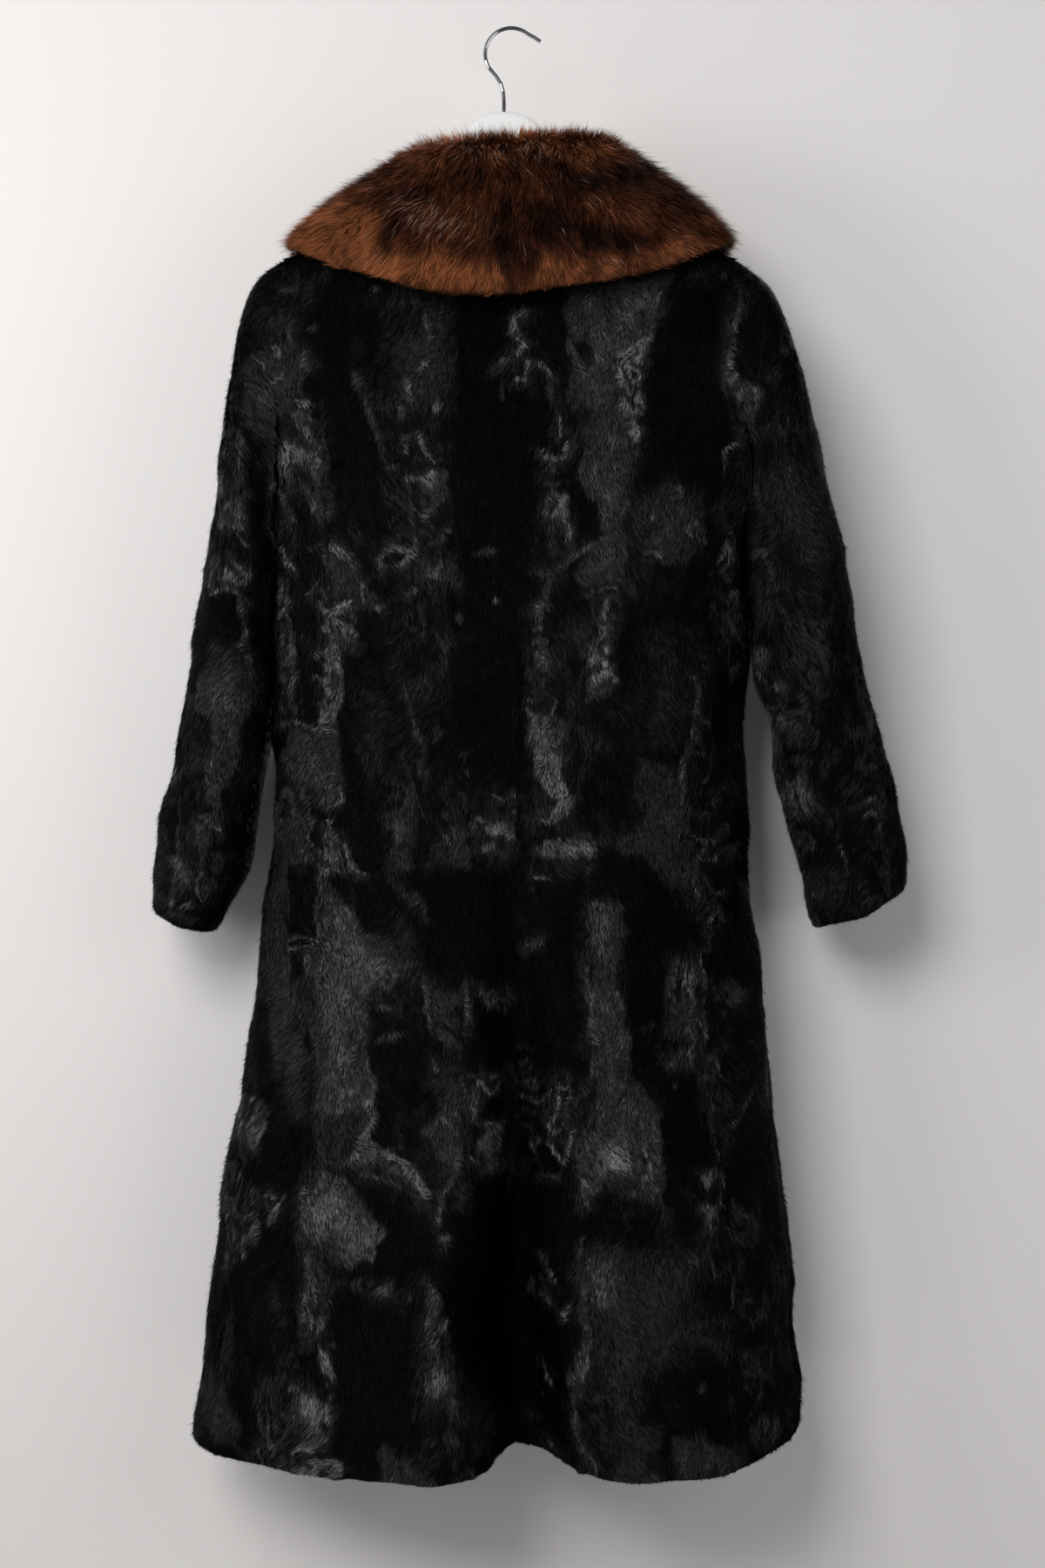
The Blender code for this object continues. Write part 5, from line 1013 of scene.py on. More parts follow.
@dataclass(frozen=True)
class Nodes:
    """Adds nodes to a tree and fills their sockets with numbers, colours or links."""

    tree: bpy.types.NodeTree

    def fill(self, node: bpy.types.Node, inputs: Mapping[int | str, object]) -> None:
        """Fill sockets of a node.

        Args:
            node: the node.
            inputs: what each socket gets: another node's socket, or a plain value.
        """
        for name, given in inputs.items():
            if isinstance(given, bpy.types.NodeSocket):
                self.tree.links.new(given, node.inputs[name])
            else:
                node.inputs[name].default_value = given

    def add(
        self, kind: str, inputs: Mapping[int | str, object] | None = None, **settings: object
    ) -> bpy.types.Node:
        """Add a node.

        Args:
            kind: the node's type, without the word that all of them start with.
            inputs: what its sockets get.
            **settings: its properties.

        Returns:
            The node.
        """
        node = self.tree.nodes.new(f"ShaderNode{kind}")
        for name, value in settings.items():
            setattr(node, name, value)
        self.fill(node, inputs or {})
        return node

    def mix(
        self, first: object, second: object, share: object, way: str = "MIX"
    ) -> bpy.types.NodeSocket:
        """Mix two colours.

        Args:
            first: socket of the first colour.
            second: socket of the second colour.
            share: socket of the second one's share, or a number.
            way: the blend type.

        Returns:
            The mixed colour's socket.
        """
        node = self.add("Mix", data_type="RGBA", blend_type=way)
        self.fill(node, {6: first, 7: second, 0: share})
        return node.outputs[2]

    def eased(
        self, value: object, low: float, high: float, start: object = 0.0, end: object = 1.0
    ) -> bpy.types.NodeSocket:
        """Map a value from low..high to start..end, eased.

        Args:
            value: the value's socket.
            low: the value that gives start.
            high: the value that gives end.
            start: a number or a socket.
            end: a number or a socket.

        Returns:
            The result's socket.
        """
        node = self.add("MapRange", interpolation_type="SMOOTHSTEP")
        self.fill(
            node,
            {"Value": value, "From Min": low, "From Max": high, "To Min": start, "To Max": end},
        )
        return node.outputs["Result"]


def fresh_material(name: str) -> tuple[bpy.types.Material, Nodes, bpy.types.ShaderNode]:
    """Start a material with a Principled shader.

    Args:
        name: the material's name.

    Returns:
        The material, its nodes and its shader node.
    """
    made = bpy.data.materials.new(name)
    made.use_nodes = True
    return made, Nodes(made.node_tree), made.node_tree.nodes["Principled BSDF"]


@dataclass(frozen=True)
class HairFinish:
    """Colours of a pile from its darkest to its palest hairs, and how they shine."""

    name: str
    dark: Colour
    middle: Colour
    light: Colour
    pale: Colour
    root_shade: float
    rough_dark: float
    rough_pale: float
    specular: float

    def material(self, groups: "ShaderGroups") -> bpy.types.Material:
        """Make the material for the hairs.

        Args:
            groups: the shared shader groups.

        Returns:
            The material.
        """
        made, nodes, shader = fresh_material(self.name)
        places = nodes.add("UVMap", uv_map=NAP_MAP)
        split = nodes.add("SeparateXYZ", {0: places.outputs["UV"]})
        hair = nodes.add("Group", node_tree=groups.hair)
        nodes.fill(
            hair,
            {
                "Dark": (*self.dark, 1),
                "Middle": (*self.middle, 1),
                "Light": (*self.light, 1),
                "Pale": (*self.pale, 1),
                "Root shade": self.root_shade,
                "Rough dark": self.rough_dark,
                "Rough pale": self.rough_pale,
                "Tone": split.outputs["X"],
                "Along": split.outputs["Y"],
            },
        )
        nodes.fill(
            shader,
            {
                "Base Color": hair.outputs["Colour"],
                "Roughness": hair.outputs["Roughness"],
                "Specular IOR Level": self.specular,
            },
        )
        return made


@dataclass(frozen=True)
class UnderfurFinish:
    """The skin's hair side, seen between the hairs of the pile."""

    name: str
    shade: Colour
    shine: Colour
    lump: float
    relief: float
    roughness: float = 0.75
    specular: float = 0.03

    def material(self, groups: "ShaderGroups") -> bpy.types.Material:
        """Make the material for a pelt's hair side.

        Args:
            groups: the shared shader groups.

        Returns:
            The material.
        """
        made, nodes, shader = fresh_material(self.name)
        # The shell's tone: painted sheen on the black pelts, the mink's tone on the collar.
        sheen_and_tone_attribute = nodes.add("Attribute", attribute_name=SHEEN_AND_TONE)
        nap = nodes.add("Group", node_tree=groups.nap)
        nodes.fill(
            nap,
            {
                "Sheen and tone": sheen_and_tone_attribute.outputs["Fac"],
                "Lump": self.lump,
                "Shade": (*self.shade, 1),
                "Shine": (*self.shine, 1),
                "Relief": self.relief,
            },
        )
        nodes.fill(
            shader,
            {
                "Base Color": nap.outputs["Colour"],
                "Normal": nap.outputs["Normal"],
                "Roughness": self.roughness,
                "Specular IOR Level": self.specular,
            },
        )
        return made


@dataclass(frozen=True)
class GrainFinish:
    """A surface with fine grain and broad blotches: dressed hide, painted wood or drawn wire."""

    name: str
    shade: Colour
    shine: Colour
    grain: float
    blotch: float
    relief: float
    stretch: float
    shader: tuple[tuple[str, float], ...]
    grain_roughens: bool = True
    polish: tuple[float, float] | None = None
    embossed: bool = True

    def material(self, groups: "ShaderGroups") -> bpy.types.Material:
        """Make the material: even or grained roughness, polished to a range where one is given.

        Args:
            groups: the shared shader groups.

        Returns:
            The material.
        """
        made, nodes, shader = fresh_material(self.name)
        grain = nodes.add("Group", node_tree=groups.grain)
        nodes.fill(
            grain,
            {
                "Grain": self.grain,
                "Blotch": self.blotch,
                "Shade": (*self.shade, 1),
                "Shine": (*self.shine, 1),
                "Relief": self.relief,
                "Stretch": self.stretch,
            },
        )
        nodes.fill(shader, {"Base Color": grain.outputs["Colour"], **dict(self.shader)})
        rough = grain.outputs["Roughness"]
        if self.polish:
            low, high = self.polish
            smooth = {"Value": rough, "From Min": GRAIN_ROUGH[0], "From Max": GRAIN_ROUGH[1]}
            ranged = nodes.add("MapRange", {**smooth, "To Min": low, "To Max": high})
            rough = ranged.outputs["Result"]
        if self.grain_roughens:
            nodes.fill(shader, {"Roughness": rough})
        if self.embossed:
            nodes.fill(shader, {"Normal": grain.outputs["Normal"]})
        return made


@dataclass(frozen=True)
class WallFinish:
    """Matt wall paint. A wall may be seen through from behind, to leave the coat's front free."""

    name: str
    colour: Colour
    seen_through_behind: bool
    roughness: float = 0.9
    specular: float = 0.1

    def material(self) -> bpy.types.Material:
        """Make the material for the wall or the floor."""
        made, nodes, shader = fresh_material(self.name)
        nodes.fill(
            shader,
            {
                "Base Color": (*self.colour, 1),
                "Roughness": self.roughness,
                "Specular IOR Level": self.specular,
            },
        )
        if self.seen_through_behind:
            behind = nodes.add("NewGeometry").outputs["Backfacing"]
            clear = nodes.add("BsdfTransparent").outputs[0]
            either = nodes.add("MixShader", {"Fac": behind, 1: shader.outputs[0], 2: clear})
            out = made.node_tree.nodes["Material Output"]
            nodes.fill(out, {"Surface": either.outputs[0]})
        return made


class ShaderGroups:
    """The shader groups that several finishes share."""

    def __init__(self) -> None:
        """Build each group once."""
        self.hair = self._hair()
        self.nap = self._nap()
        self.grain = self._grain()

    @staticmethod
    def _start(
        name: str, inputs: Mapping[str, str], outputs: Mapping[str, str]
    ) -> tuple[Nodes, bpy.types.NodeOutputs, bpy.types.Node]:
        """Start a group with its sockets.

        Args:
            name: the group's name.
            inputs: kind of each input, by name.
            outputs: kind of each output, by name.

        Returns:
            The group's nodes, what it is given and its output node.
        """
        tree = bpy.data.node_groups.new(name, "ShaderNodeTree")
        for way, sockets in (("INPUT", inputs), ("OUTPUT", outputs)):
            for label, kind in sockets.items():
                tree.interface.new_socket(label, in_out=way, socket_type=f"NodeSocket{kind}")
        given = tree.nodes.new("NodeGroupInput").outputs
        return Nodes(tree), given, tree.nodes.new("NodeGroupOutput")

    def _hair(self) -> bpy.types.NodeTree:
        """Colour and roughness of a hair from its tone and the place along it."""
        colours = dict.fromkeys(("Dark", "Middle", "Light", "Pale"), "Color")
        numbers = dict.fromkeys(("Root shade", "Rough dark", "Rough pale"), "Float")
        nodes, given, out = self._start(
            "Hair tone",
            {"Tone": "Float", "Along": "Float", **colours, **numbers},
            {"Colour": "Color", "Roughness": "Float"},
        )
        tone, colour = given["Tone"], given["Dark"]
        for paler, low, high in HAIR_STEPS:
            colour = nodes.mix(colour, given[paler], nodes.eased(tone, low, high))
        shade = nodes.eased(given["Along"], 0.0, ROOT_SHADE_END, given["Root shade"])
        grey = nodes.add("CombineColor", dict.fromkeys(range(3), shade))
        rough = nodes.eased(tone, 0.0, 1.0, given["Rough dark"], given["Rough pale"])
        shaded = nodes.mix(colour, grey.outputs[0], 1.0, "MULTIPLY")
        nodes.fill(out, {"Colour": shaded, "Roughness": rough})
        return nodes.tree

    def _nap(self) -> bpy.types.NodeTree:
        """Short hairs lying down the pelt, as lines in its colour and height; the lines take the
        Shine colour as far as the sheen and tone reach, which is painted sheen on the black pelts.
        """
        nodes, given, out = self._start(
            "Lying nap",
            {"Sheen and tone": "Float", "Lump": "Float", **SHADES, "Relief": "Float"},
            {"Colour": "Color", "Normal": "Vector"},
        )
        where = nodes.add("TexCoord").outputs["Object"]
        drawn = nodes.add("VectorMath", {0: where, 1: NAP_DRAWN}, operation="MULTIPLY")
        lines = nodes.add(
            "TexNoise",
            {"Detail": 3.0, "Distortion": 0.6, "Vector": drawn.outputs[0], "Scale": given["Lump"]},
        ).outputs["Fac"]
        streak = nodes.eased(lines, 0.35, 0.68, 0.25)
        amount = nodes.add("Math", {0: streak, 1: given["Sheen and tone"]}, operation="MULTIPLY")
        colour = nodes.mix(given["Shade"], given["Shine"], amount.outputs[0])
        normal = self._bump(nodes, lines, given["Relief"], NAP_HEIGHT)
        nodes.fill(out, {"Colour": colour, "Normal": normal})
        return nodes.tree

    def _grain(self) -> bpy.types.NodeTree:
        """Fine grain and broad blotches for hide, paint and wire."""
        nodes, given, out = self._start(
            "Fine grain",
            {"Grain": "Float", "Blotch": "Float", **SHADES, "Relief": "Float", "Stretch": "Float"},
            {"Colour": "Color", "Roughness": "Float", "Normal": "Vector"},
        )
        where = nodes.add("TexCoord").outputs["Object"]
        split = nodes.add("SeparateXYZ", {0: where}).outputs
        drawn = nodes.add("Math", {0: split["X"], 1: given["Stretch"]}, operation="MULTIPLY")
        place = nodes.add(
            "CombineXYZ", {"X": drawn.outputs[0], "Y": split["Y"], "Z": split["Z"]}
        ).outputs[0]
        fine, broad = (
            nodes.add(
                "TexNoise", {"Detail": detail, "Vector": place, "Scale": given[scale]}
            ).outputs["Fac"]
            for scale, detail in (("Grain", 4.0), ("Blotch", 2.0))
        )
        blotches = nodes.eased(broad, 0.3, 0.7, 0.0, 0.6)
        mixed = nodes.add("Math", {0: fine, 1: 0.4, 2: blotches}, operation="MULTIPLY_ADD")
        colour = nodes.mix(given["Shade"], given["Shine"], mixed.outputs[0])
        rough = nodes.eased(mixed.outputs[0], 0.1, 0.9, *GRAIN_ROUGH)
        normal = self._bump(nodes, fine, given["Relief"], GRAIN_HEIGHT)
        nodes.fill(out, {"Colour": colour, "Roughness": rough, "Normal": normal})
        return nodes.tree

    @staticmethod
    def _bump(
        nodes: Nodes, height: object, strength: object, distance: float
    ) -> bpy.types.NodeSocket:
        """Raise the surface by a pattern.

        Args:
            nodes: the group's nodes.
            height: socket of the pattern.
            strength: socket of its strength.
            distance: its full height, in metres.

        Returns:
            The normal's socket.
        """
        bump = nodes.add("Bump", {"Distance": distance, "Strength": strength, "Height": height})
        return bump.outputs["Normal"]


# The black pile's middle, light and pale colours are painted sheen: hairs take them as far as their
# tone from the painted sheen goes.
BLACK_HAIR = HairFinish(
    name="black_watered_pile",
    dark=(0.0007, 0.0007, 0.0007),
    middle=(0.0300, 0.0296, 0.0282),
    light=(0.1300, 0.1280, 0.1210),
    pale=(0.2200, 0.2170, 0.2080),
    root_shade=0.5,
    rough_dark=0.62,
    rough_pale=0.45,
    specular=0.03,
)
# The mink's pale colour is for pale guard hairs, partly painted sheen on the fold.
MINK_HAIR = HairFinish(
    name="brown_mink_hair",
    dark=(0.0100, 0.0040, 0.0030),
    middle=(0.0850, 0.0250, 0.0110),
    light=(0.4400, 0.1500, 0.0560),
    pale=(0.3600, 0.2900, 0.2600),
    root_shade=0.45,
    rough_dark=0.50,
    rough_pale=0.40,
    specular=0.14,
)
# The ground's shine colour is painted sheen, laid where the pile's painted sheen is.
BLACK_UNDERFUR = UnderfurFinish(
    name="black_pile_ground",
    shade=(0.0008, 0.0008, 0.0008),
    shine=(0.0300, 0.0290, 0.0280),
    lump=420.0,
    relief=0.5,
)
MINK_UNDERFUR = UnderfurFinish(
    name="brown_mink_ground",
    shade=(0.0200, 0.0075, 0.0045),
    shine=(0.0900, 0.0320, 0.0150),
    lump=300.0,
    relief=0.6,
)
HIDE = GrainFinish(
    name="dressed_hide",
    shade=(0.016, 0.013, 0.012),
    shine=(0.032, 0.026, 0.023),
    grain=900.0,
    blotch=14.0,
    relief=0.25,
    stretch=1.0,
    shader=(("Roughness", 0.85), ("Specular IOR Level", 0.2)),
    grain_roughens=False,
)
PAINT = GrainFinish(
    name="white_satin_paint",
    shade=(0.62, 0.62, 0.61),
    shine=(0.70, 0.70, 0.69),
    grain=260.0,
    blotch=22.0,
    relief=0.06,
    stretch=0.12,
    shader=(("Coat Weight", 0.15), ("Coat Roughness", 0.25)),
)
WIRE = GrainFinish(
    name="chromed_wire",
    shade=(0.27, 0.27, 0.275),
    shine=(0.44, 0.44, 0.45),
    grain=1400.0,
    blotch=60.0,
    relief=0.03,
    stretch=0.5,
    shader=(("Metallic", 1.0),),
    polish=(0.09, 0.24),
    embossed=False,
)
WALL = WallFinish("pale_wall", (0.675, 0.655, 0.643), True)
FLOOR = WallFinish("pale_floor", (0.54, 0.53, 0.52), False)


# ---------------------------------------------------------------- pelts


def tree_of(frame: dict, nodes: Iterable[str]) -> BVHTree:
    """Gather the surfaces of some solids for looking up distances.

    Args:
        nodes: the names of the solids' nodes.

    Returns:
        One tree of all their faces.
    """
    points, faces = [], []
    for node in nodes:
        mesh, first = frame["nodes"][node].data, len(points)
        points += [point.co.copy() for point in mesh.vertices]
        faces += [[first + k for k in face.vertices] for face in mesh.polygons]
    return BVHTree.FromPolygons(points, faces)


@dataclass(frozen=True)
class Swell:
    """How one side of the coat and the sleeve beside it swell until they meet below the arm."""

    side: float
    heights: tuple[float, float, float, float]
    body: float
    sleeve: float

    def shift(self, places: np.ndarray, on_sleeve: bool) -> np.ndarray:
        """Give how far each place moves along x.

        Args:
            places: points on the coat.
            on_sleeve: whether they lie on a sleeve.

        Returns:
            One distance for each point.
        """
        start, full, hold, end = self.heights
        down, out = -places[:, 2], places[:, 0] * self.side
        strength = smoothstep(-start, -full, down) * (1 - smoothstep(-hold, -end, down))
        if on_sleeve:
            inner = (1 - smoothstep(0.205, 0.265, out)) * (out > 0)
            return -self.side * self.sleeve * strength * inner
        return self.side * self.body * strength * smoothstep(0.13, 0.20, out)


SWELLS = (
    Swell(1.0, (-0.415, -0.452, -0.592, -0.660), 0.0058, 0.0080),
    Swell(-1.0, (-0.420, -0.458, -0.552, -0.605), 0.0080, 0.0074),
)


def rumple(places: np.ndarray) -> np.ndarray:
    """Give how far places on the coat, below its shoulders, move by its small uneven bulges.

    Args:
        places: points on the coat.

    Returns:
        One move for each point.
    """
    wide = np.stack([noise(places, lumps) - 0.5 for lumps in RUMPLE_WIDE], axis=1)
    close = np.stack([noise(places, lumps) - 0.5 for lumps in RUMPLE_CLOSE], axis=1)
    moves = wide * [0.0095, 0.0040, 0.0055] + close * [0.0036, 0.0014, 0.0032]
    return moves * smoothstep(0.27, 0.36, -places[:, 2])[:, None]


def swelling(places: np.ndarray, node: str) -> np.ndarray:
    """Give how far the places of a node's pelt move by the swells and small bulges.

    Args:
        places: points on the pelt.
        node: the node's name.

    Returns:
        One move for each point.
    """
    if node.startswith("collar"):
        return np.zeros_like(places)
    moves = rumple(places)
    moves[:, 0] += sum(swell.shift(places, node.startswith("sleeve")) for swell in SWELLS)
    return moves


@dataclass
class Skin:
    """A shell made from a coat node, with the surface that carries the hairs."""

    thing: bpy.types.Object
    corners: np.ndarray
    normals: np.ndarray
    areas: np.ndarray

    @property
    def area(self) -> float:
        """Area of the hair side, in square metres."""
        return float(self.areas.sum())

    def scatter(self, count: int, seed: int) -> tuple[np.ndarray, np.ndarray]:
        """Spread points evenly over the hair side.

        Args:
            count: how many.
            seed: which spread.

        Returns:
            The points and the normals there.
        """
        dice = np.random.default_rng(seed)
        ends = np.cumsum(self.areas)
        steps = (np.arange(count) + dice.random(count)) / count
        picked = np.minimum(np.searchsorted(ends, steps * ends[-1]), len(ends) - 1)
        first, second = dice.random(count), dice.random(count)
        over = first + second > 1
        first[over], second[over] = 1 - first[over], 1 - second[over]
        shares = np.stack([1 - first - second, first, second], axis=1)[:, :, None]
        places = (self.corners[picked] * shares).sum(axis=1)
        return places, unit((self.normals[picked] * shares).sum(axis=1))


@dataclass
class Shell:
    """How a coat node becomes a thin, smooth pelt whose hair side lies below its solid's."""

    node: str
    centre: tuple[float, float, float]
    sunk: float
    most_sunk: float
    sharp: float = 62.0
    rim: float = 50.0

    def build(self, frame: dict, name: str) -> Skin:
        """Copy the node, smooth it, mark its hair side and sink that side.

        Args:
            name: the new piece's name.

        Returns:
            The skin.
        """
        source = frame["nodes"][self.node]
        thing = bpy.data.objects.new(name, source.data.copy())
        thing.data.materials.clear()
        bpy.context.scene.collection.objects.link(thing)
        only(thing)
        bpy.ops.object.mode_set(mode="EDIT")
        bpy.ops.mesh.select_all(action="SELECT")
        bpy.ops.mesh.remove_doubles(threshold=WELD)
        bpy.ops.mesh.tris_convert_to_quads(
            face_threshold=QUAD_ANGLE, shape_threshold=QUAD_ANGLE
        )
        bpy.ops.mesh.select_all(action="DESELECT")
        bpy.ops.object.mode_set(mode="OBJECT")
        thing.data.polygons[self._seed(thing.data)].select = True
        bpy.ops.object.mode_set(mode="EDIT")
        bpy.ops.mesh.select_mode(type="FACE")
        bpy.ops.mesh.faces_select_linked_flat(sharpness=math.radians(self.sharp))
        bpy.ops.object.mode_set(mode="OBJECT")
        beside = self._beside(frame)
        self._leave_seams(beside, thing.data)
        outer = thing.vertex_groups.new(name="hair_side")
        picked = sorted({v for p in thing.data.polygons if p.select for v in p.vertices})
        outer.add(picked, 1.0, "REPLACE")
        marks = thing.data.attributes.new("side", "INT", "FACE")
        marks.data.foreach_set("value", [int(p.select) for p in thing.data.polygons])
        self._crease(thing.data)
        smooth = thing.modifiers.new("smooth", "SUBSURF")
        smooth.levels = smooth.render_levels = 1
        bpy.ops.object.modifier_apply(modifier=smooth.name)
        return self._sink(thing, beside)

    def _beside(self, frame: dict) -> BVHTree:
        """Gather the surfaces of all the coat's other solids."""
        return tree_of(frame, [p.node for p in (*PELTS, *COLLAR) if p.node != self.node])

    @staticmethod
    def _leave_seams(beside: BVHTree, mesh: bpy.types.Mesh) -> None:
        """Unselect the faces that lie against the pieces sewn to this one.

        Args:
            beside: the surfaces of the coat's other solids.
            mesh: the shell.
        """
        against = [beside.find_nearest(point.co, SEAM)[0] is not None for point in mesh.vertices]
        for face in mesh.polygons:
            if face.select and all(against[k] for k in face.vertices):
                face.select = beside.find_nearest(face.center, SEAM)[0] is None

    def _crease(self, mesh: bpy.types.Mesh) -> None:
        """Keep the rims sharp, so that the pelts still meet at their seams once smoothed.

        Args:
            mesh: the shell.
        """
        beside: dict[tuple[int, int], list[Vector]] = {}
        for face in mesh.polygons:
            for key in face.edge_keys:
                beside.setdefault(key, []).append(face.normal)
        creases = mesh.attributes.new("crease_edge", "FLOAT", "EDGE")
        for edge, crease in zip(mesh.edges, creases.data):
            pair = beside[edge.key]
            if len(pair) == 2 and pair[0].angle(pair[1]) > math.radians(self.rim):
                crease.value = 1.0

    def _seed(self, mesh: bpy.types.Mesh) -> int:
        """Find a face that is surely on the hair side: big, and facing away from the centre.

        Args:
            mesh: the shell.

        Returns:
            The face's index.
        """
        centre = Vector(self.centre)
        best, chosen = -1e9, 0
        for face in mesh.polygons:
            away = (face.center - centre) * Vector((1, 1, 0.15))
            value = away.dot(face.normal) * face.area**0.25
            if value > best:
                best, chosen = value, face.index
        return chosen

    def _sink(self, thing: bpy.types.Object, beside: BVHTree) -> Skin:
        """Move the hair side in, close the seams and read off the surface for the hairs.

        Args:
            thing: the smoothed shell.
            beside: the surfaces of the coat's other solids.

        Returns:
            The skin.
        """
        mesh, outer = thing.data, thing.vertex_groups["hair_side"]
        count, places = len(mesh.vertices), points_of(mesh)
        normals = self._normals_of(mesh, 1)
        weights = np.zeros(count)
        for vertex in mesh.vertices:
            for group in vertex.groups:
                if group.group == outer.index:
                    weights[vertex.index] = group.weight
        tree = BVHTree.FromPolygons(places.tolist(), [tuple(p.vertices) for p in mesh.polygons])
        depth = np.full(count, self.sunk)
        for k in np.nonzero(weights > 0.05)[0]:
            way = Vector(-normals[k])
            wall = tree.ray_cast(Vector(places[k]) + way * RAY_START, way, WALL_REACH)[3]
            if wall is not None:
                depth[k] = min(self.sunk, self.most_sunk * (wall + RAY_START))
        shift = -normals * (depth * smoothstep(0.2, 1.0, weights))[:, None]
        rims = self._normals_of(mesh, 0) * (np.abs(normals).sum(axis=1) > 0)[:, None]
        shift -= (shift * rims).sum(axis=1, keepdims=True) * rims
        closing = np.zeros_like(places)
        for k, place in enumerate(places):
            spot = beside.find_nearest(Vector(place), SEAM)[0]
            if spot is not None:
                closing[k] = spot - Vector(place)
        places = places + shift + SEAM_CLOSING * closing + swelling(places, self.node)
        mesh.vertices.foreach_set("co", places.ravel())
        mesh.update()
        mesh.shade_smooth()
        thing.vertex_groups.remove(outer)
        return self._read(thing)

    @staticmethod
    def _normals_of(mesh: bpy.types.Mesh, side: int) -> np.ndarray:
        """Give the points' normals from the faces of one side alone.

        Args:
            mesh: the shell.
            side: 1 for the hair side, 0 for the rim and the inside.

        Returns:
            Unit normals, zero where a point has no face of that side.
        """
        total = np.zeros((len(mesh.vertices), 3))
        for face, mark in zip(mesh.polygons, mesh.attributes["side"].data):
            if mark.value == side:
                total[list(face.vertices)] += np.array(face.normal) * face.area
        return unit(total)

    def _read(self, thing: bpy.types.Object) -> Skin:
        """Give the triangles of the hair side, with their normals and areas.

        Args:
            thing: the finished shell.

        Returns:
            The skin.
        """
        mesh = thing.data
        sides = np.zeros(len(mesh.polygons), np.int32)
        mesh.attributes["side"].data.foreach_get("value", sides)
        mesh.polygons.foreach_set("material_index", 1 - sides)
        normals = self._normals_of(mesh, 1)
        mesh.attributes.remove(mesh.attributes["side"])
        mesh.calc_loop_triangles()
        count = len(mesh.loop_triangles)
        corners, faces = np.zeros(count * 3, np.int32), np.zeros(count, np.int32)
        mesh.loop_triangles.foreach_get("vertices", corners)
        mesh.loop_triangles.foreach_get("polygon_index", faces)
        picked = corners.reshape(-1, 3)[sides[faces] == 1]
        triangles = points_of(mesh)[picked]
        first, second = triangles[:, 1] - triangles[:, 0], triangles[:, 2] - triangles[:, 0]
        areas = np.linalg.norm(np.cross(first, second), axis=1) / 2
        return Skin(thing, triangles, normals[picked], areas)


@dataclass
class Reach:
    """Keeps hairs from standing out past the solids that the fur fills."""

    tree: BVHTree
    over: float

    def shortened(
        self, roots: np.ndarray, ways: np.ndarray, lengths: np.ndarray, seed: int
    ) -> np.ndarray:
        """Shorten the hairs that would stand out too far, most of all at edges that face down.

        Args:
            roots: where the hairs start.
            ways: where they point.
            lengths: how long they are.
            seed: which spread of the hairs that may still stand out a little.

        Returns:
            The new lengths.
        """
        spare = self.over * (0.3 + 1.4 * np.random.default_rng(seed).random(len(roots)) ** 2)
        past = np.zeros(len(roots))
        for k, tip in enumerate(roots + ways * lengths[:, None]):
            place = Vector(tip)
            spot, normal, _, far = self.tree.find_nearest(place)
            if (place - spot).dot(normal) > -0.9 * far:
                down = (place - spot).z < -0.5 * far
                past[k] = far - spare[k] * (0.15 if down else 1.0)
        return lengths * np.clip(1 - np.maximum(past, 0) / lengths, 0.12, 1)


@dataclass
class HairBatch:
    """Hairs as flat blades, each of one or two lengths that end in a point."""

    name: str
    roots: np.ndarray
    ways: np.ndarray
    sides: np.ndarray
    lengths: np.ndarray
    widths: np.ndarray
    tones: np.ndarray
    droop: np.ndarray | None = None

    def build(self, finish: bpy.types.Material) -> bpy.types.Object:
        """Make one mesh of all the hairs.

        Args:
            finish: the hairs' material.

        Returns:
            The mesh object.
        """
        half = self.sides * self.widths[:, None] / 2
        tip = self.roots + self.ways * self.lengths[:, None]
        low, high = self.roots - half, self.roots + half
        tone = np.clip(self.tones, 0.012, 0.988)
        spread = 0.010
        if self.droop is None:
            points = np.stack([low, high, tip], axis=1)
            corners = np.array([0, 1, 2])
            map_x = np.stack([tone - spread, tone + spread, tone], axis=1)
            map_y = np.tile([0.0, 0.0, 1.0], (len(tone), 1))
        else:
            middle = self.roots + self.ways * self.lengths[:, None] * 0.5
            tip = middle + unit(self.ways + self.droop) * self.lengths[:, None] * 0.5
            narrow = half * 0.75
            points = np.stack([low, high, middle + narrow, middle - narrow, tip], axis=1)
            corners = np.array([0, 1, 2, 0, 2, 3, 3, 2, 4])
            left, right = tone - spread, tone + spread
            map_x = np.stack([left, right, right, left, tone], axis=1)
            map_y = np.tile([0.0, 0.0, 0.5, 0.5, 1.0], (len(tone), 1))
        return self._mesh(points, corners, np.stack([map_x, map_y], axis=-1), finish)

    def _mesh(
        self,
        points: np.ndarray,
        corners: np.ndarray,
        maps: np.ndarray,
        finish: bpy.types.Material,
    ) -> bpy.types.Object:
        """Write the blades into a mesh.

        Args:
            points: the points of each hair.
            corners: the triangles of one hair, as indices of its points.
            maps: the place of each point in the hair maps.
            finish: the hairs' material.

        Returns:
            The mesh object.
        """
        hairs, per_hair = points.shape[:2]
        index = (np.arange(hairs)[:, None] * per_hair + corners[None, :]).ravel()
        mesh = bpy.data.meshes.new(self.name)
        mesh.vertices.add(hairs * per_hair)
        mesh.vertices.foreach_set("co", points.ravel())
        mesh.loops.add(len(index))
        mesh.loops.foreach_set("vertex_index", index.astype(np.int32))
        mesh.polygons.add(len(index) // 3)
        mesh.polygons.foreach_set("loop_start", np.arange(0, len(index), 3, dtype=np.int32))
        flat = maps.reshape(-1, 2)[index].ravel()
        for label in (NAP_MAP, BAKE_MAP):
            layer = mesh.uv_layers.new(name=label)
            layer.data.foreach_set("uv", flat)
        mesh.update(calc_edges=True)
        mesh.materials.append(finish)
        thing = bpy.data.objects.new(self.name, mesh)
        bpy.context.scene.collection.objects.link(thing)
        return thing


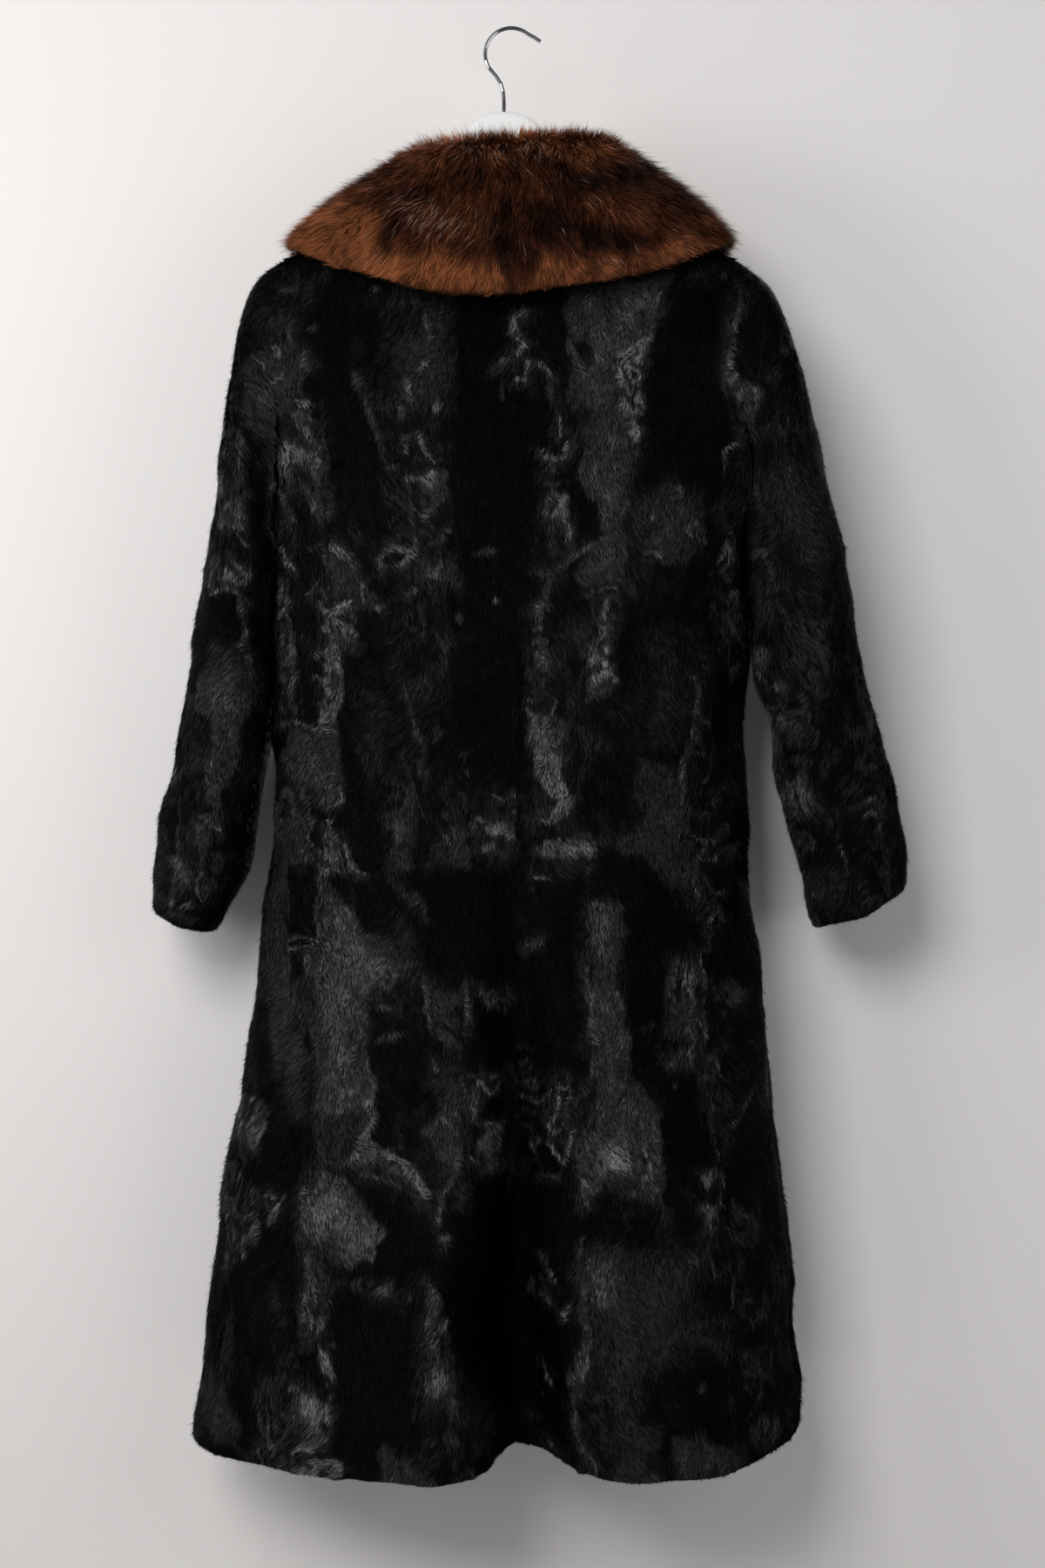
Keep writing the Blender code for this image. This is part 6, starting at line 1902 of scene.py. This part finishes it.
@dataclass
class Pelt:
    """A cut piece of the black coat with its watered pile."""

    node: str
    face: Face
    centre: tuple[float, float, float]
    cut: tuple[float, float]
    cut_area: float
    hairs: int
    slot: str = "black_fur"
    length: float = 0.0076
    width: float = 0.00125
    sunk: float = 0.0030
    stray_rise: float = 24.0  # further rise of stray hairs, in degrees
    stray_share: float = 0.07
    watering: Watering = field(default_factory=Watering)

    def skin(self, frame: dict) -> Skin:
        """Make the pelt's shell from its node."""
        shell = Shell(self.node, self.centre, sunk=self.sunk, most_sunk=0.6)
        return shell.build(frame, f"{self.node}_pelt")

    def build(self, skin: Skin, reach: Reach, dress: "Wardrobe", seed: int) -> None:
        """Finish the pelt's shell, lay its pile and fix them to the coat in place of its node.

        Args:
            skin: the pelt's shell.
            reach: what keeps the hairs within the coat's edges.
            dress: the finishes.
            seed: which scatter of hairs.
        """
        shell = skin.thing
        shell.data.materials.append(dress.black_ground)
        shell.data.materials.append(dress.hide)
        sheen_and_tone, _ = self.watering.sheen_and_tone(points_of(shell.data), self.face)
        mark_sheen_and_tone(shell.data, sheen_and_tone)
        pile = self._pile(skin, reach, seed).build(dress.black_hair)
        put_on((shell, pile), self.node, self.slot)
        LOG.info("%s: %.3f m2, %d hairs", self.node, skin.area, self.hairs)

    def _pile(self, skin: Skin, reach: Reach, seed: int) -> HairBatch:
        """Lay the hairs of the pile, closer and shorter where its sheen is painted, with tones from
        the painted sheen.

        Args:
            skin: the shell's hair side.
            reach: what keeps the hairs within the coat's edges.
            seed: which scatter of hairs.

        Returns:
            The hairs.
        """
        dice = np.random.default_rng(seed)
        roots, normals = skin.scatter(self.hairs * 2, seed)
        lay = self.watering.lay(roots, normals, np.zeros(len(roots)))
        sheen_and_tone, curl = self.watering.sheen_and_tone(roots + lay * self.length * 0.55, self.face)
        wanted = (0.34 + 1.5 * np.minimum(sheen_and_tone, 0.5)) / dice.random(len(roots))
        kept = np.argsort(-wanted)[: self.hairs]
        roots, normals, sheen_and_tone, curl = roots[kept], normals[kept], sheen_and_tone[kept], curl[kept]
        bright = smoothstep(0.05, 0.35, sheen_and_tone)
        lengths = self.length * (0.75 + 0.4 * dice.random(len(roots))) * (1 - 0.30 * bright)
        widths = self.width * (0.8 + 0.5 * dice.random(len(roots))) * (1 - 0.30 * bright)
        lay = self.watering.lay(roots, normals, curl)
        rise = np.radians(11 + 9 * dice.random(len(roots)) + 12 * curl * dice.random(len(roots)))
        tuft = noise(roots, TUFTS)
        stray = dice.random(len(roots)) > 1 - self.stray_share
        rise = rise + np.radians(8) * (tuft - 0.5) + np.radians(self.stray_rise) * stray
        ways = raised(lay, normals, rise)
        lengths = reach.shortened(roots - swelling(roots, self.node), ways, lengths, seed)
        twist = dice.normal(0, 0.25, len(roots))
        across = np.cross(normals, lay)
        sides = unit(across * np.cos(twist)[:, None] + normals * np.sin(twist)[:, None])
        # Each hair's tone is the painted sheen, scattered hair by hair, plus a faint painted glint
        # on every hair.
        spark = dice.random(len(roots))
        tones = sheen_and_tone * (0.34 + 1.20 * spark) * (0.8 + 0.4 * tuft) + 0.01 * spark * spark
        return HairBatch(f"{self.node}_pile", roots, ways, sides, lengths, widths, tones)


@dataclass(frozen=True)
class Fur:
    """One kind of mink hair: how many to a half collar, their sizes, lay and tones."""

    hairs: int
    length: float
    more_length: float  # how far lengths vary, as a share
    width: float
    rise: float  # least rise from the skin, in degrees
    more_rise: float
    wild: float  # how much the way that they lie wanders
    tufts: Lumps
    tuft_contrast: float
    tone_spread: float

    def lengths(self, dice: np.random.Generator) -> np.ndarray:
        """Draw a length for each hair."""
        return self.length * (0.7 + self.more_length * dice.random(self.hairs))

    def widths(self, dice: np.random.Generator) -> np.ndarray:
        """Draw a width for each hair."""
        return self.width * (0.7 + 0.6 * dice.random(self.hairs))


GUARD = Fur(24000, 0.0200, 0.55, 0.00040, 22, 34, 1.0, GUARD_TUFTS, 0.25, 0.09)
UNDER = Fur(96000, 0.0120, 0.60, 0.00062, 30, 32, 1.3, UNDER_TUFTS, 0.30, 0.05)
LEAST_TONE, MOST_TONE = 0.02, 0.80  # of brown hairs; pale ones lie above
PALE_TONE, PALE_TONE_SPREAD = 0.86, 0.12
STRAY_RISE, STRAY_SHARE = 16, 0.2  # further rise of some guard hairs, in degrees, and how many


@dataclass
class MinkHalf:
    """Half of the collar: mink guard hairs over underfur."""

    node: str
    side: float
    cut: tuple[float, float]
    cut_area: float
    slot: str = "mink"

    def skin(self, frame: dict) -> Skin:
        """Make the half's shell from its node."""
        centre = (self.side * 0.02, 0.0, -0.19)
        shell = Shell(self.node, centre, sunk=0.0085, most_sunk=0.55, sharp=58.0)
        return shell.build(frame, f"{self.node}_pelt")

    def build(self, skin: Skin, reach: Reach, dress: "Wardrobe", seed: int) -> None:
        """Finish the half's shell, lay its fur and fix them to the coat in place of its node.

        Args:
            skin: the half's shell.
            reach: what keeps the hairs within the collar's edges.
            dress: the finishes.
            seed: which scatter of hairs.
        """
        shell = skin.thing
        shell.data.materials.append(dress.mink_ground)
        shell.data.materials.append(dress.hide)
        mark_sheen_and_tone(shell.data, self._tone(points_of(shell.data)))
        guard = self._guard(skin, reach, seed).build(dress.mink_hair)
        under = self._under(skin, reach, seed + 1).build(dress.mink_hair)
        put_on((shell, guard, under), self.node, self.slot)
        LOG.info("%s: %.3f m2", self.node, skin.area)

    def _tone(self, places: np.ndarray) -> np.ndarray:
        """Give the mink's tone at each place, 0 to 1.

        Args:
            places: points on the collar.

        Returns:
            One tone for each point.
        """
        at = places.copy()
        ahead = at[:, 1] < -0.01
        at[ahead, 2] += 0.03
        x = at[:, 0] + (noise(at, MINK_SHIFT_X) - 0.5) * 0.014
        z = at[:, 2] + (noise(at, MINK_SHIFT_Z) - 0.5) * 0.014
        total, weight = np.full(len(at), 0.40 * 0.03), np.full(len(at), 0.03)
        for patch in MINK_PATCHES:
            near = np.exp(-1.6 * patch.far(x, z) ** 2)
            total, weight = total + near * patch.value, weight + near
        tone = total / weight
        tone = tone + (noise(at, MINK_TONE) - 0.5) * 0.30
        return tone + (noise(at, MINK_TONE_FINE) - 0.5) * 0.16

    def _pale_sheen(self, places: np.ndarray) -> np.ndarray:
        """Give the share of pale hairs at each place, partly painted sheen.

        Args:
            places: points on the collar.

        Returns:
            One share for each point.
        """
        x = places[:, 0] + (noise(places, PALE_SHIFT) - 0.5) * 0.008
        share = [patch.value * np.exp(-patch.far(x, places[:, 2]) ** 2) for patch in PALE_SHEEN_PATCHES]
        return np.maximum.reduce(share)

    def _lay(self, roots: np.ndarray, normals: np.ndarray, wild: float) -> np.ndarray:
        """Give the way the fur lies: over the fold, then down and out to the edge.

        Args:
            roots: the hairs' roots.
            normals: the skin's normals there.
            wild: how much the way wanders.

        Returns:
            Unit vectors in the skin.
        """
        out = unit(roots * [1.0, 1.6, 0.0])
        facing = np.clip((normals * out).sum(axis=1) * 3, -1, 1)[:, None]
        way = out * 0.75 + DOWN * facing
        flat = in_surface(way, normals)
        wander = (noise(roots, MINK_WANDER) - 0.5) * 0.9
        close = (noise(roots, MINK_CLOSE) - 0.5) * 0.7
        return turned(flat, normals, (wander + close) * wild)

    def _guard(self, skin: Skin, reach: Reach, seed: int) -> HairBatch:
        """Lay the long guard hairs, a few of them pale, and more pale ones where painted sheen lies
        on the collar's back.

        Args:
            skin: the shell's hair side.
            reach: what keeps the hairs within the collar's edges.
            seed: which scatter of hairs.

        Returns:
            The hairs.
        """
        dice = np.random.default_rng(seed)
        count = GUARD.hairs
        roots, normals = skin.scatter(count, seed)
        lay = self._lay(roots, normals, GUARD.wild)
        rise = GUARD.rise + GUARD.more_rise * dice.random(count)
        rise = np.radians(rise + STRAY_RISE * (dice.random(count) > 1 - STRAY_SHARE))
        ways = raised(lay, normals, rise)
        droop = lay * 0.55 - normals * 0.15 + dice.normal(0, 0.10, (count, 3))
        lengths = GUARD.lengths(dice)
        lengths = reach.shortened(roots, (ways + unit(ways + droop)) / 2, lengths, seed)
        widths = GUARD.widths(dice)
        tuft = (noise(roots, GUARD.tufts) - 0.5) * GUARD.tuft_contrast
        tones = self._tone(roots) + tuft + dice.normal(0, GUARD.tone_spread, count)
        # Pale guard hairs: a few at random, and on the back more where the pale patches paint the
        # sheen.
        pale_and_sheen_hairs = dice.random(count) < 0.006 + 0.60 * self._pale_sheen(roots) * (roots[:, 1] > 0)
        pale = PALE_TONE + PALE_TONE_SPREAD * dice.random(count)
        tones = np.where(pale_and_sheen_hairs, pale, np.clip(tones, LEAST_TONE, MOST_TONE))
        sides = unit(np.cross(ways, normals) + normals * dice.normal(0, 0.5, count)[:, None])
        return HairBatch(
            f"{self.node}_guard_hair", roots, ways, sides, lengths, widths, tones, droop
        )

    def _under(self, skin: Skin, reach: Reach, seed: int) -> HairBatch:
        """Lay the dense soft underfur.

        Args:
            skin: the shell's hair side.
            reach: what keeps the hairs within the collar's edges.
            seed: which scatter of hairs.

        Returns:
            The hairs.
        """
        dice = np.random.default_rng(seed)
        count = UNDER.hairs
        roots, normals = skin.scatter(count, seed)
        lay = self._lay(roots, normals, UNDER.wild)
        rise = np.radians(UNDER.rise + UNDER.more_rise * dice.random(count))
        ways = raised(lay, normals, rise)
        lengths = reach.shortened(roots, ways, UNDER.lengths(dice), seed)
        widths = UNDER.widths(dice)
        tuft = (noise(roots, UNDER.tufts) - 0.5) * UNDER.tuft_contrast
        tones = self._tone(roots) - 0.06 + tuft + dice.normal(0, UNDER.tone_spread, count)
        tones = np.clip(tones, LEAST_TONE, MOST_TONE)
        sides = unit(np.cross(ways, normals) + normals * dice.normal(0, 0.5, count)[:, None])
        return HairBatch(f"{self.node}_underfur", roots, ways, sides, lengths, widths, tones)


# ---------------------------------------------------------------- the rest


@dataclass
class Wardrobe:
    """Every finish of the coat and its hanger, made once."""

    groups: ShaderGroups = field(default_factory=ShaderGroups)

    def __post_init__(self) -> None:
        """Make the materials."""
        self.black_hair = BLACK_HAIR.material(self.groups)
        self.mink_hair = MINK_HAIR.material(self.groups)
        self.black_ground = BLACK_UNDERFUR.material(self.groups)
        self.mink_ground = MINK_UNDERFUR.material(self.groups)
        self.hide = HIDE.material(self.groups)
        self.paint = PAINT.material(self.groups)
        self.wire = WIRE.material(self.groups)


@dataclass
class Hanger:
    """The painted hanger and its wire hook, which keep their solids."""

    wood: str = "hanger"
    hook: str = "hanger_hook"

    def dress(self, frame: dict, finishes: Wardrobe) -> None:
        """Give both nodes their materials.

        Args:
            finishes: the materials.
        """
        for node, finish in ((self.wood, finishes.paint), (self.hook, finishes.wire)):
            thing = frame["nodes"][node]
            thing.data.materials.clear()
            thing.data.materials.append(finish)
            LOG.info("%s dressed", node)


@dataclass(frozen=True)
class Lamp:
    """A soft square lamp: where it stands, what it points at, its side and its watts."""

    name: str
    place: tuple[float, float, float]
    aim: tuple[float, float, float]
    size: float
    power: float

    def build(self) -> None:
        """Add the lamp."""
        data = bpy.data.lights.new(self.name, "AREA")
        data.size, data.energy = self.size, self.power
        lamp = bpy.data.objects.new(self.name, data)
        bpy.context.scene.collection.objects.link(lamp)
        lamp.location = self.place
        way = Vector(self.aim) - Vector(self.place)
        lamp.rotation_euler = way.to_track_quat("-Z", "Y").to_euler()


LAMPS = (
    Lamp("key", (0.85, 2.30, 0.55), (0.20, 0.0, -0.40), 1.2, 51.0),
    Lamp("wash", (1.25, 0.95, -0.25), (0.42, -0.11, -0.50), 0.6, 9.5),
    Lamp("fill", (-1.35, 1.5, -0.38), (-0.1, 0.0, -0.48), 1.2, 7.5),
    Lamp("front_key", (-0.75, -2.7, 0.6), (0.0, 0.0, -0.62), 1.1, 72.0),
    Lamp("front_fill", (0.9, -2.5, 0.0), (0.0, 0.0, -0.62), 1.4, 26.0),
)
DAYLIGHT = (0.93, 0.96, 1.0, 1)
DAYLIGHT_STRENGTH = 0.17


@dataclass
class Studio:
    """Wall, floor, lamps and camera."""

    wall_y: float = -0.112
    wall_half: float = 1.5
    floor_z: float = -1.85
    floor_half: float = 3.0
    eye: tuple[float, float, float] = (-0.0105, 2.256, -0.651)
    lens: float = 60.0

    def build(self) -> None:
        """Set up the whole studio."""
        upright = (-math.pi / 2, 0, 0)
        self._plane("wall", (0, self.wall_y, self.eye[2]), upright, self.wall_half, WALL)
        self._plane("floor", (0, 0, self.floor_z), (0, 0, 0), self.floor_half, FLOOR)
        bpy.data.objects["wall"].visible_shadow = False
        for lamp in LAMPS:
            lamp.build()
        world = bpy.data.worlds.new("soft_daylight")
        world.use_nodes = True
        sky = world.node_tree.nodes["Background"]
        Nodes(world.node_tree).fill(sky, {"Color": DAYLIGHT, "Strength": DAYLIGHT_STRENGTH})
        scene = bpy.context.scene
        scene.world = world
        scene.view_settings.view_transform = "Standard"
        scene.view_settings.look = "None"
        self._camera()

    def _plane(
        self,
        name: str,
        place: tuple[float, float, float],
        turn: tuple[float, float, float],
        half: float,
        finish: WallFinish,
    ) -> None:
        """Add one plane of the stage.

        Args:
            name: its name.
            place: its middle.
            turn: its rotation in radians.
            half: half its side.
            finish: its paint.
        """
        bpy.ops.object.select_all(action="DESELECT")
        bpy.ops.mesh.primitive_plane_add(size=half * 2, location=place, rotation=turn)
        plane = bpy.context.object
        plane.name = name
        plane.data.materials.append(finish.material())

    def _camera(self) -> None:
        """Add the camera, level, looking at the coat's back."""
        data = bpy.data.cameras.new("camera")
        data.lens, data.sensor_width = self.lens, 36.0
        data.clip_end = 50.0
        camera = bpy.data.objects.new("camera", data)
        bpy.context.scene.collection.objects.link(camera)
        camera.location = self.eye
        camera.rotation_euler = (math.pi / 2, 0, math.pi)
        bpy.context.scene.camera = camera


PELTS: tuple[Pelt, ...] = (
    Pelt("back_left", Face.BACK, (0.0, 0.0, -0.7), (0.30, 1.09), 0.214, 104000),
    Pelt("back_right", Face.BACK, (0.0, 0.0, -0.7), (0.29, 1.09), 0.208, 101000),
    Pelt("side_left", Face.ROUND, (0.10, 0.0, -0.8), (0.25, 0.88), 0.158, 58000),
    Pelt("side_right", Face.ROUND, (-0.10, 0.0, -0.8), (0.23, 0.88), 0.139, 52000),
    Pelt("front_left", Face.FRONT, (0.08, 0.20, -0.7), (0.27, 1.06), 0.228, 68000),
    Pelt("front_right", Face.FRONT, (-0.08, 0.20, -0.7), (0.28, 1.06), 0.238, 76000),
    Pelt("sleeve_left_upper", Face.ROUND, (0.24, 0.0, -0.48), (0.19, 0.58), 0.082, 34000),
    Pelt("sleeve_left_under", Face.ROUND, (0.24, 0.0, -0.48), (0.18, 0.50), 0.069, 30000),
    Pelt("sleeve_right_upper", Face.ROUND, (-0.26, 0.0, -0.48), (0.23, 0.58), 0.102, 42000),
    Pelt("sleeve_right_under", Face.ROUND, (-0.24, 0.0, -0.48), (0.18, 0.48), 0.063, 28000),
)
COLLAR: tuple[MinkHalf, ...] = (
    MinkHalf("collar_left", 1.0, (0.36, 0.26), 0.065),
    MinkHalf("collar_right", -1.0, (0.36, 0.26), 0.064),
)


# How far hairs may stand out past the solids, in metres, and the seed of the first piece's hairs.
PELT_OVER, PELT_SEED = 0.0034, 100
COLLAR_OVER, COLLAR_SEED = 0.0085, 200
SEED_STEP = 10


def main() -> None:
    """Load the frame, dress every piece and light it."""
    logging.basicConfig(level=logging.INFO, format="%(message)s")
    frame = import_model()
    finishes = Wardrobe()
    furs = ((PELTS, PELT_OVER, PELT_SEED), (COLLAR, COLLAR_OVER, COLLAR_SEED))
    for parts, over, first in furs:
        reach = Reach(tree_of(frame, [part.node for part in parts]), over)
        for k, part in enumerate(parts):
            part.build(part.skin(frame), reach, finishes, first + SEED_STEP * k)
    Hanger().dress(frame, finishes)
    Studio().build()


if __name__ == "__main__":
    main()
